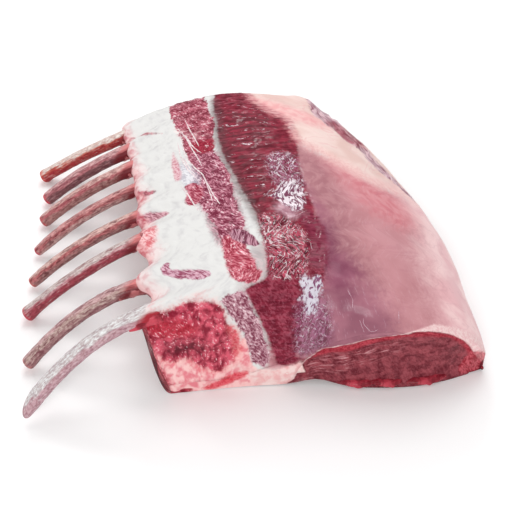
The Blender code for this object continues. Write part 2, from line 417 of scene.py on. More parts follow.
        v = min(1.0, max(0.0, float(along(np.array(self.frenched_edge_x[0]))) / self.length))
        over, below, way = self.section(v)
        lean = self.flap_lean * (1 - math.sin(front)) ** self.flap_lean_power
        lean += self.back_corner * (1 - math.sin(back))
        near, far = self.front_edge_share
        front_edge = over[:, 1] * (near + (far - near) * self.over_eye(over[:, 0]))
        z = front_edge + (over[:, 1] - front_edge) * math.sin(front)
        low_z = below[:, 1] * math.sin(front) ** self.under_roll_power
        if back < QUARTER:
            back_edge = below[:, 1] + (over[:, 1] - below[:, 1]) * self.back_edge_share
            z = back_edge + (over[:, 1] - back_edge) * math.sin(back)
        left = over[0, 0]
        y = along(over[:, 0])
        top = np.column_stack([self.leaned(over[:, 0], left, lean), y, z])
        under = np.column_stack([self.leaned(below[:, 0], left, lean), along(below[:, 0]), low_z])
        under[0], under[-1] = top[0], top[-1]
        drop = (over[:, 1] - z) * (1 if back < QUARTER else -1)
        return top, under, np.column_stack([top[:, 0], y + drop, way])

    def leaned(self, x: Array, left: float, lean: float) -> Array:
        """x moved in from the frenched edge by the lean, which dies out along the flap."""
        return x + lean * (1 - smoothstep((x - left) / self.flap_lean_width))

    def build(self) -> Surface:
        """The whole closed surface, as points and faces."""
        tops, unders, flats = (np.array(part) for part in zip(*(self.row(*p) for p in self.row_places())))
        rows, columns = tops.shape[0], self.columns
        step = self.under_share
        coarse = unders[:, ::step]
        places: list[Array] = [tops.reshape(-1, 3), coarse[:, 1:-1].reshape(-1, 3)]
        flat: list[Array] = [flats[:, :, :2].reshape(-1, 2), coarse[:, 1:-1, :2].reshape(-1, 2)]
        low = coarse[:, 1:-1]
        left, right = tops[:, :1, 0], tops[:, -1:, 0]
        is_left = low[:, :, 0] < left + self.arch_middle * (right - left)
        way_under = np.where(is_left, left - low[:, :, 0], flats[:, -1:, 2] + right - low[:, :, 0])
        behind = low[:, :, 1] - low[0, :, 1]
        is_front = behind < self.front_wrap
        way_under = np.where(is_front, low[:, :, 0], way_under)
        along = np.where(is_front, self.front_flow + low[:, :, 2] - behind, low[:, :, 1])
        flow = [
            np.column_stack([flats[:, :, 2].ravel(), flats[:, :, 1].ravel()]),
            np.column_stack([way_under.ravel(), along.ravel()]),
        ]
        is_below = is_left | (right - low[:, :, 0] > self.foot_wall)
        under = [np.zeros(tops[:, :, 0].size), is_below.astype(float).ravel()]
        above = np.full(tops.shape[:2], -20.0)
        above[:, 0] = above[:, -1] = 0.0
        border = np.minimum(low[:, :, 0] - left, right - low[:, :, 0])
        border = np.minimum(border, np.minimum(behind, low[-1, :, 1] - low[:, :, 1]))
        deep = [above.ravel(), border.ravel()]
        over_index = np.arange(rows * (columns + 1)).reshape(rows, columns + 1)
        inner = over_index.size + np.arange(way_under.size).reshape(way_under.shape)
        low_index = np.hstack([over_index[:, :1], inner, over_index[:, -1:]])
        faces: list[tuple[int, ...]] = []
        for r in range(rows - 1):
            near, far = over_index[r].tolist(), over_index[r + 1].tolist()
            faces += list(zip(near, near[1:], far[1:], far))
            near, far = low_index[r].tolist(), low_index[r + 1].tolist()
            faces += list(zip(near[1:], near, far, far[1:]))
        count = over_index.size + inner.size
        for r, face_rows, is_front in ((0, self.front_face_rows, True), (-1, self.back_face_rows, False)):
            previous = over_index[r]
            for k in range(1, face_rows + 1):
                share = max(self.first_ring, (k - 1) / (face_rows - 1))
                if k == face_rows:
                    current = low_index[r]
                else:
                    level = tops[r] * (1 - share) + unders[r] * share
                    current = np.concatenate(
                        [over_index[r, :1], count + np.arange(columns - 1), over_index[r, -1:]]
                    )
                    count += columns - 1
                    fall = (tops[r][:, 2] - level[:, 2]) * (-1 if is_front else 1)
                    fallen = np.column_stack([flats[r][:, 0], flats[r][:, 1] + fall])
                    places.append(level[1:-1])
                    flat.append(fallen[1:-1])
                    facing = [level[:, 0], self.front_flow + level[:, 2]]
                    flow.append(np.column_stack(facing if is_front else [flats[r][:, 2], fallen[:, 1]])[1:-1])
                    under.append(np.zeros(columns - 1))
                    deep.append(np.full(columns - 1, -20.0))
                faces += self.ring(previous, current, is_front)
                previous = current
        points = np.vstack(places)
        inset = points[:, 1] - self.cut(points[:, 0])
        far = (points[:, 1] - (self.length - self.back_roll)) / self.back_roll
        return Surface(
            points, np.vstack(flat), np.vstack(flow), inset, np.concatenate(under), np.concatenate(deep), far,
            faces,
        )

    def ring(self, upper: Array, lower: Array, is_front: bool) -> list[tuple[int, ...]]:
        """Faces between two rings of an end, of which the lower may have fewer points."""
        step = (len(upper) - 1) // (len(lower) - 1)
        faces = []
        for j in range(len(lower) - 1):
            high = upper[j * step:(j + 1) * step + 1].tolist()
            corners = [int(lower[j]), int(lower[j + 1]), *reversed(high)]
            corners = list(dict.fromkeys(corners))
            faces.append(tuple(corners if is_front else reversed(corners)))
        return faces


# ---- Node trees ---------------------------------------------------------------------------
class Wiring:
    """Adds and wires the nodes of one tree."""

    def __init__(self, tree: bpy.types.NodeTree) -> None:
        """Keeps the tree to work on."""
        self.tree = tree

    def add(self, kind: str, inputs: dict | None = None, **settings: object) -> bpy.types.Node:
        """A new node.

        Args:
            kind: the node's Blender type.
            inputs: socket name or number to a value or to another node's output.
            settings: the node's own properties.

        Returns:
            The node.
        """
        node = self.tree.nodes.new(kind)
        for name, value in settings.items():
            setattr(node, name, value)
        for key, value in (inputs or {}).items():
            self.feed(node.inputs[key], value)
        return node

    def feed(self, socket: bpy.types.NodeSocket, value: object) -> None:
        """Gives a socket a value, or links it to another node's output."""
        if isinstance(value, bpy.types.NodeSocket):
            self.tree.links.new(value, socket)
        else:
            socket.default_value = value

    def math(self, operation: str, *values: object) -> bpy.types.NodeSocket:
        """The result of a Math node."""
        node = self.add("ShaderNodeMath", dict(enumerate(values)), operation=operation)
        return node.outputs[0]

    def ramp(self, value: object, low: float, high: float, start: float = 0.0, end: float = 1.0) -> bpy.types.NodeSocket:
        """value eased from start at low to end at high, and held there."""
        node = self.add(
            "ShaderNodeMapRange",
            {"Value": value, "From Min": low, "From Max": high, "To Min": start, "To Max": end},
            interpolation_type="SMOOTHSTEP",
        )
        return node.outputs["Result"]

    def mix(self, share: object, first: object, second: object) -> bpy.types.NodeSocket:
        """Two numbers mixed by a share."""
        node = self.add("ShaderNodeMix", {0: share, 2: first, 3: second}, data_type="FLOAT")
        return node.outputs[0]

    def blend(self, share: object, first: object, second: object, way: str = "MIX") -> bpy.types.NodeSocket:
        """Two colours mixed by a share."""
        node = self.add(
            "ShaderNodeMix", {0: share, 6: first, 7: second}, data_type="RGBA", blend_type=way
        )
        return node.outputs[2]

    def noise(
        self,
        place: object,
        size: Sequence[float],
        detail: float = 2.0,
        twist: float = 0.0,
        shift: float = 0.0,
        turn: float = 0.0,
    ) -> bpy.types.NodeSocket:
        """Smooth noise of 0 to 1.

        Args:
            place: the point where it is read.
            size: size of its grains along each axis.
            detail: how many finer octaves it has.
            twist: how far the grains are warped.
            shift: where in the noise it starts, so that two of a size differ.
            turn: degrees by which the grains lean from the second axis towards the first.

        Returns:
            The noise.
        """
        scaled = self.add(
            "ShaderNodeMapping",
            {"Vector": place, "Rotation": (0.0, 0.0, -math.radians(turn)), "Scale": tuple(size)},
            vector_type="TEXTURE",
        )
        moved = self.add("ShaderNodeVectorMath", {0: scaled.outputs[0], 1: (shift, shift, shift)}, operation="ADD")
        node = self.add(
            "ShaderNodeTexNoise",
            {"Vector": moved.outputs[0], "Scale": 1.0, "Detail": detail, "Distortion": twist},
        )
        return node.outputs["Fac"]


class Grain(Enum):
    """Patterns of raw tissue, by the name of their output on the shared node group."""

    LENGTHWISE = "Lengthwise"
    CROSSWISE = "Crosswise"
    SLANTED = "Slanted"
    FINE = "Fine"
    FLECK = "Fleck"
    GLINT = "Glint"
    BLOTCH = "Blotch"
    BROAD = "Broad"
    ROWS = "Rows"
    FACET = "Facet"
    CRINKLE = "Crinkle"
    VEIN = "Vein"
    EDGE = "Edge"


class TissueGrain:
    """The shared node group with the patterns of raw tissue, read in millimetres."""

    group: bpy.types.NodeTree | None = None

    @classmethod
    def place(cls, wiring: Wiring, place: object) -> dict[Grain, bpy.types.NodeSocket]:
        """Puts the group into a material.

        Args:
            wiring: the material's tree.
            place: the point on the surface, in millimetres.

        Returns:
            The output of each pattern, 0 to 1.
        """
        if cls.group is None:
            cls.group = cls.build()
        node = wiring.add("ShaderNodeGroup", node_tree=cls.group)
        wiring.feed(node.inputs["Place"], place)
        return {grain: node.outputs[grain.value] for grain in Grain}

    @classmethod
    def build(cls) -> bpy.types.NodeTree:
        """Makes the group."""
        tree = bpy.data.node_groups.new("Tissue grain", "ShaderNodeTree")
        tree.interface.new_socket("Place", in_out="INPUT", socket_type="NodeSocketVector")
        for grain in Grain:
            tree.interface.new_socket(grain.value, in_out="OUTPUT", socket_type="NodeSocketFloat")
        wiring = Wiring(tree)
        place = wiring.add("NodeGroupInput").outputs["Place"]
        ends = wiring.add("NodeGroupOutput")
        line = wiring.noise(place, (17.0, 13.0, 15.0), 2.0, 0.9, 9.4)
        line = wiring.math("ABSOLUTE", wiring.math("SUBTRACT", line, 0.5))
        edge = wiring.math(
            "ADD",
            wiring.math("MULTIPLY", wiring.noise(place, (5.0, 6.5, 5.0), 2.0, 0.4, 1.7), 0.55),
            wiring.math("MULTIPLY", wiring.noise(place, (1.3, 1.7, 1.4), 1.0, 0.5, 6.2), 0.45),
        )
        blotch = wiring.noise(place, (3.6, 4.4, 4.0), 3.0, 0.3, 5.9)
        rows = cls.rows(wiring, place)
        beads = wiring.noise(place, (0.6, 1.9, 1.0), 2.0, 0.6, 3.3, 112.0)
        glints = wiring.math("MULTIPLY", wiring.ramp(beads, 0.53, 0.6), wiring.ramp(rows, 0.72, 0.94))
        patches = wiring.noise(place, (3.2, 6.0, 5.0), 2.0, 0.2, 8.1, 98.0)
        glints = wiring.math("MULTIPLY", glints, wiring.ramp(patches, 0.47, 0.56))
        fleck = wiring.noise(place, (0.7, 1.7, 1.0), 4.0, 0.6, 11.3, -28.0)
        fleck = wiring.math("MULTIPLY_ADD", wiring.math("SUBTRACT", blotch, 0.5), 0.45, fleck)
        # Crossed thin lines; the tissues lay them in white as painted highlights on crinkled film.
        shards = [
            wiring.ramp(wiring.noise(place, size, 2.0, 1.0, 5.0 + turn, turn), 0.565, 0.62)
            for size, turn in (((0.85, 3.4, 1.0), 20.0), ((0.8, 2.6, 1.0), -42.0))
        ]
        facet = wiring.noise(place, (1.4, 4.0, 1.0), 3.0, 1.3, 3.1, 12.0)
        patterns = {
            Grain.LENGTHWISE: wiring.noise(place, (0.8, 5.0, 2.0), 3.0, 0.15, 0.6, -9.0),
            Grain.CROSSWISE: wiring.noise(place, (1.1, 5.0, 2.0), 4.0, 0.6, 4.4, 98.0),
            Grain.SLANTED: wiring.noise(place, (0.8, 5.5, 1.0), 3.0, 0.5, 8.8, 72.0),
            Grain.FINE: wiring.noise(place, (0.9, 1.1, 1.0), 3.0, 0.5, 2.5),
            Grain.FLECK: fleck,
            Grain.GLINT: glints,
            Grain.BLOTCH: blotch,
            Grain.BROAD: wiring.noise(place, (13.0, 16.0, 14.0), 2.0, 0.2, 7.7),
            Grain.ROWS: rows,
            Grain.FACET: facet,
            Grain.CRINKLE: wiring.math("MAXIMUM", *shards),
            Grain.VEIN: wiring.ramp(line, 0.0, 0.03, 1.0, 0.0),
            Grain.EDGE: edge,
        }
        for grain, socket in patterns.items():
            wiring.feed(ends.inputs[grain.value], socket)
        return tree


    @staticmethod
    def rows(wiring: Wiring, place: object) -> bpy.types.NodeSocket:
        """Uneven rows across the rack, one for each bundle of fibres."""
        turned = wiring.add(
            "ShaderNodeMapping",
            {"Vector": place, "Rotation": (0.0, 0.0, math.radians(-8)), "Scale": (21.0, 21.0, 21.0)},
            vector_type="TEXTURE",
        )
        wave = wiring.add(
            "ShaderNodeTexWave",
            {"Vector": turned.outputs[0], "Scale": 1.0, "Distortion": 2.6, "Detail": 2.0, "Detail Scale": 2.2},
            wave_type="BANDS", bands_direction="Y",
        )
        return wave.outputs["Fac"]


# ---- Tissues on the meat's skin -----------------------------------------------------------
@dataclass(frozen=True)
class Tissue:
    """One tissue as it shows on the meat, laid over those before it; some layers are painted
    highlights, reflections and painted shade, laid the same way.

    dark and light are its two colours, which its grain mixes between the two marks of span.
    soft is how wide its border fades and ragged how far the border strays, in mm. Where only is
    given, the tissue shows only where that pattern is above the marks of only_span.
    """

    name: str
    area: Area | None
    dark: Colour
    light: Colour
    grain: Grain = Grain.BLOTCH
    span: tuple[float, float] = (0.38, 0.62)
    soft: float = 0.5
    ragged: float = 1.5
    strength: float = 1.0
    only: Grain | None = None
    only_span: tuple[float, float] = (0.5, 0.6)
    roughness: float = 0.32
    coat: float = 0.1
    relief: float = 0.1


WHOLE = Area(((-60, -80), (260, -80), (260, 260), (-60, 260)), rounded=False)
STRIP = Area((
    (93, 10), (87, 14), (84.8, 22), (84.5, 32), (84.5, 40), (82.5, 50), (80, 60), (77.5, 66), (76, 73),
    (77.5, 82), (77.5, 92), (76, 102), (75.6, 110), (74.5, 120), (73.5, 130), (72, 140), (70.5, 150),
    (71, 165), (70, 184), (74, 204), (82, 204), (86, 184), (88, 165), (89.5, 150), (89.5, 140), (91, 130), (89.5, 120), (88.5, 110),
    (88.5, 100), (91, 90), (92.5, 80), (93, 70), (93, 60), (94.5, 50), (94.5, 42), (93.5, 33), (95, 24),
    (97, 15),
))
STRIP_MIDDLE = Area((
    (84, 34), (80, 56), (75, 74), (78, 92), (77, 102), (80, 108), (88, 104), (92, 84), (95, 52), (94, 36),
))
STRIP_BREAK = Area(((72.5, 132), (79, 128), (85, 123), (87, 119), (83, 117), (78, 119), (73, 124)))
STRIP_DEEP = Area(((79, 114), (88, 114), (89.5, 108), (88, 104), (83, 103), (79, 108)))
STRIP_LOBE = Area(((93, 10), (86, 15), (84.5, 24), (84.5, 38), (88, 40), (92, 33), (95, 24), (97, 15)))
FINGER = Area(((89, 43), (94, 42), (98.6, 32), (97, 30), (93, 33), (89, 38)))
GREY_PATCH = Area(((71.5, 96), (76, 96), (80, 84), (78, 77), (73, 79)))
SIDE_LOBE = Area(((72.5, 79), (76, 81), (80, 77), (79.5, 69), (75.5, 65.5), (72.5, 69), (74, 74)))
SLIVER = Area(((69.5, 112), (71.5, 100), (72, 90), (70, 87), (68.5, 96)))
CRIMSON = Area((
    (95, 182), (94, 160), (93, 150), (92, 142), (92.5, 130), (91.5, 118), (92, 100), (93, 90), (95, 80),
    (96.5, 70), (98.5, 60), (100.5, 50), (101, 36), (100.5, 22), (98.5, 12), (91, 8), (91.5, 2), (95, -9),
    (97.5, -18), (100, -28), (102, -36), (105, -39), (108, -36), (110, -28), (111.5, -14), (113, -3),
    (118, 2), (121, 10), (122, 20), (122.5, 30), (124.5, 42), (124, 55), (123.5, 70), (123.5, 80),
    (125, 90), (126, 100), (125.5, 112), (125, 124), (120, 131), (115, 138), (111.5, 147), (110, 158),
    (111, 172), (113, 190), (110, 206), (98, 206),
))
CRIMSON_SHADE = Area((
    (92, 152), (95.5, 150), (95.5, 130), (94.5, 108), (96, 90), (98.5, 75), (102, 56), (103, 40), (101, 36),
    (98, 50), (94, 68), (90, 92), (89, 118), (90, 140),
))
CRIMSON_HAZE = Area(((92, 152), (100, 156), (112, 148), (116, 138), (104, 136), (92, 140)))
GLINTS = Area(((93, 140), (104, 134), (116, 128), (116, 108), (108, 92), (108, 70), (106, 54), (98, 56), (94, 84), (93, 110)))
CREAM = Area((
    (106, 230), (108, 180), (110, 160), (112, 146), (116, 137), (121, 130), (125, 124), (126, 112), (126, 99),
    (133, 92), (140, 85), (148, 76), (158, 71), (170, 73), (182, 76), (200, 80), (245, 80), (245, 230),
))
CREAM_BLUSH = Area(((110, 146), (116, 148), (134, 138), (150, 124), (140, 118), (126, 124), (116, 132)))
CREAM_FRINGE = Area((
    (108, 170), (109.5, 150), (113, 138), (118, 130), (123, 123), (124, 112), (124.5, 101), (128, 99),
    (128.5, 112), (127.5, 125), (122, 134), (117, 141), (113.5, 150), (112, 170),
))
CREAM_EDGE = Area(((128, 103), (140, 92), (150, 84), (162, 78), (180, 80), (180, 72), (158, 69), (144, 76), (130, 92)))
MEMBRANE = Area((
    (106, 4), (122, 10), (123, 40), (123, 80), (126, 99), (133, 92), (140, 85), (148, 76), (158, 71),
    (170, 73), (182, 76), (245, 80), (245, -70), (106, -70),
))
MEMBRANE_LEFT = Area(((118, 96), (130, 96), (138, 70), (140, 30), (142, 0), (118, -10)))
MEMBRANE_BLUSH = Area(((138, 84), (150, 76), (166, 70), (172, 56), (160, 42), (146, 56)))
MEMBRANE_RIGHT = Area(((174, 84), (170, 50), (166, 20), (168, -20), (210, -60), (245, -60), (245, 90)))
PURPLE_EDGE = Area(((122, 66), (128, 50), (131, 24), (136, 8), (124, 4), (119, 14), (121, 34), (123, 50)))
PURPLE_FLESH = Area(((119, 49), (124, 47), (126, 36), (125, 22), (120, 14), (116.5, 20), (119, 32), (117, 44)))
FRONT_PURPLE = Area((
    (111, -28), (111, -10), (117, 2), (121, 12), (127, 16), (135, 8), (142, -3), (146, -14), (144, -24),
    (132, -32), (120, -36),
))
FIBRE_STRIP = Area((
    (146, 204), (143, 180), (142, 158), (141, 146), (141, 136), (145, 128), (150, 118), (152, 111), (158, 104),
    (160, 97), (164, 89), (172, 81), (178, 76), (174, 86), (169, 94), (166, 102), (164, 110), (162, 116),
    (160, 124), (157, 132), (155, 140), (153, 150), (152, 180), (154, 200),
))
FIBRE_RED = Area(((147, 131), (158, 131), (163, 118), (160, 108), (152, 112)))
FAR_SEAM = Area(((154, 150), (160, 140), (166, 130), (172, 118), (178, 104), (182, 94), (186, 100), (170, 150)))
FILM_UPPER = Area(((110, 88), (113, 92), (120, 92.5), (122.5, 86), (123, 72), (122, 62), (114, 62), (111, 72), (110, 80)))
FILM_WHITE = Area(((107.5, 61), (113, 66), (119, 68), (122.5, 63), (122, 54), (118, 49), (114, 52), (111, 58)))
FILM_HAZE = Area(((109, 54), (115, 56), (118, 50), (115, 44), (110, 47)))
FILM_LOWER = Area(((101, 46), (108, 48), (113, 44), (117, 36), (119, 28), (116, 20), (113, 12), (106, 10), (101.5, 14), (101.5, 30)))
GLARE = Area((
    (113.5, 12), (116, 9), (119, 10), (119.5, 5), (118, 0), (117, -6), (115, -10), (113, -9.5), (112, -6),
    (113.5, -3), (110.5, -1), (112.5, 2), (111.5, 6),
))
CRIMSON_LOW = Area(((96, 30), (110, 28), (124, 24), (122, 8), (114, -4), (112, -16), (108, -40), (98, -30), (88, 2)))
CRINKLED_FRONT = Area(
    ((110, 40), (118, 44), (122, 38), (122, 28), (118, 20), (113, 17), (109, 20)), Plane.FRONT, 16.0,
)
FLAP = Area(
    ((50, 33), (50.5, 38), (56, 41), (62, 42), (68, 44.5), (76, 44.5), (81, 42), (83, 35), (86, 30), (86.5, 20),
     (84, 15), (77, 11), (70, 15), (66, 19), (60, 18), (57, 20), (53, 25), (49, 29)),
    Plane.FRONT, 6.5,
)
FLAP_HOLLOW = Area(((58, 25), (62, 28), (70, 27.5), (75, 25), (74, 21), (66, 20), (60, 21)), Plane.FRONT, 6.5)
FLAP_RED = Area(((50, 33), (51, 37), (60, 39), (68, 37), (72, 33), (62, 30)), Plane.FRONT, 6.5)
FLAP_RIM = Area(((82, 34), (86, 32), (88, 24), (87, 18), (84, 17), (84, 26)), Plane.FRONT, 6.5)
RED_STREAK = Area(((71, 1), (78, 5), (84, 8), (90, 9), (89, 6), (82, 2), (76, 0)), Plane.FRONT, 6.5)
MOTTLED = Area(
    ((81, 45.5), (83, 39), (87, 33), (89.5, 27), (91, 20), (92.5, 13), (97, 11), (99, 15), (98, 22), (96, 30),
     (93, 39), (90, 46.5)),
    Plane.FRONT, 8.0,
)
LOW_FAT = Area(
    ((50, 22), (60, 24), (70, 19), (77, 16), (85, 22), (90, 27), (92, 13), (100, 9), (112, 12), (113, -4), (50, -4)),
    Plane.FRONT, 7.0,
)
LOW_WHITE = Area(((84, 14), (92, 10), (103, 10), (112, 12), (113, -4), (96, -4), (92, 4)), Plane.FRONT, 8.0)
EYE_CUT = Area(
    ((109, 3), (112, 12), (116, 17), (120, 21), (130, 24.5), (140, 28), (150, 31), (157, 31.8), (165, 29.2),
     (172, 25), (178, 18.4), (183, 9.8), (188, 4), (189, -6), (108, -6)),
    Plane.FRONT, 4.0,
)
EYE_RED = Area(
    ((114, 13), (120, 20.5), (130, 24), (140, 27.5), (150, 30.5), (157, 31.0), (165, 28.6), (172, 24.6), (178, 18),
     (183, 9.6), (181, 9), (176, 17.5), (170, 24), (163, 27), (156, 28), (146, 27), (132, 21), (120, 17)),
    Plane.FRONT, 4.0,
)
EYE_NUB = Area(((176, 3), (179, 12), (184, 13), (189, 7), (188, 1), (181, 0)), Plane.FRONT, 5.0)
EYE_FOLDS = Area(((111, 6), (116, 13), (124, 18), (134, 22.5), (146, 24), (150, 20), (138, 14), (124, 7), (114, 3)), Plane.FRONT, 4.0)
EYE_LIP = Area(
    ((108, 2), (112, 12.5), (116, 17.6), (120, 21.6), (130, 25.2), (140, 28.7), (150, 31.8), (157, 33), (166, 32),
     (174, 28), (181, 21), (187, 12), (190, 6), (188, 3.5), (183, 9.6), (178, 18.2), (172, 24.8), (165, 29),
     (157, 31.2), (150, 30.6), (140, 27.6), (130, 24.1), (120, 20.6), (116, 16.6), (112, 11)),
    Plane.FRONT, 2.4,
)
RAW_EDGE = Area(((-9, -10), (3.0, -10), (4.0, 40), (5.0, 80), (3.5, 120), (3.5, 175), (-9, 175)), Plane.EDGE, rounded=False)
EDGE_PINK = Area(((-6, -10), (7, -10), (8, 34), (10, 48), (9, 62), (6, 72), (8, 100), (6, 140), (7, 175), (-6, 175)), Plane.EDGE)
FLAP_SIDE = Area(((-12, -70), (3.5, -70), (3.0, -20), (2.0, 4), (1.0, 12), (-12, 16)), Plane.EDGE)
UNDERSIDE = Area(WHOLE.outline, Plane.UNDER, 3.5, rounded=False)
FLAP_UNDER = Area(((40, -20), (70, -20), (66, 8), (61, 20), (52, 34), (40, 34)), Plane.UNDER, -0.5)

RIB_SCARS = Area(((50, 146), (56, 137), (66, 132), (62, 135), (54, 142)))
SCAR_5 = Area(((50, 98), (53, 93), (60, 88), (55, 88), (51, 91)))
SCAR_4 = Area(((51, 72), (58, 71), (65, 66.5), (58, 66), (52, 68)))
SCAR_2 = Area(((61, 31), (63.5, 30), (63, 27), (68, 25), (77, 22), (78, 19), (72, 18.5), (66, 22), (60, 26)))
SCAR_3 = Area(((50, 60), (57, 60), (60, 54), (57, 48), (51, 48)))

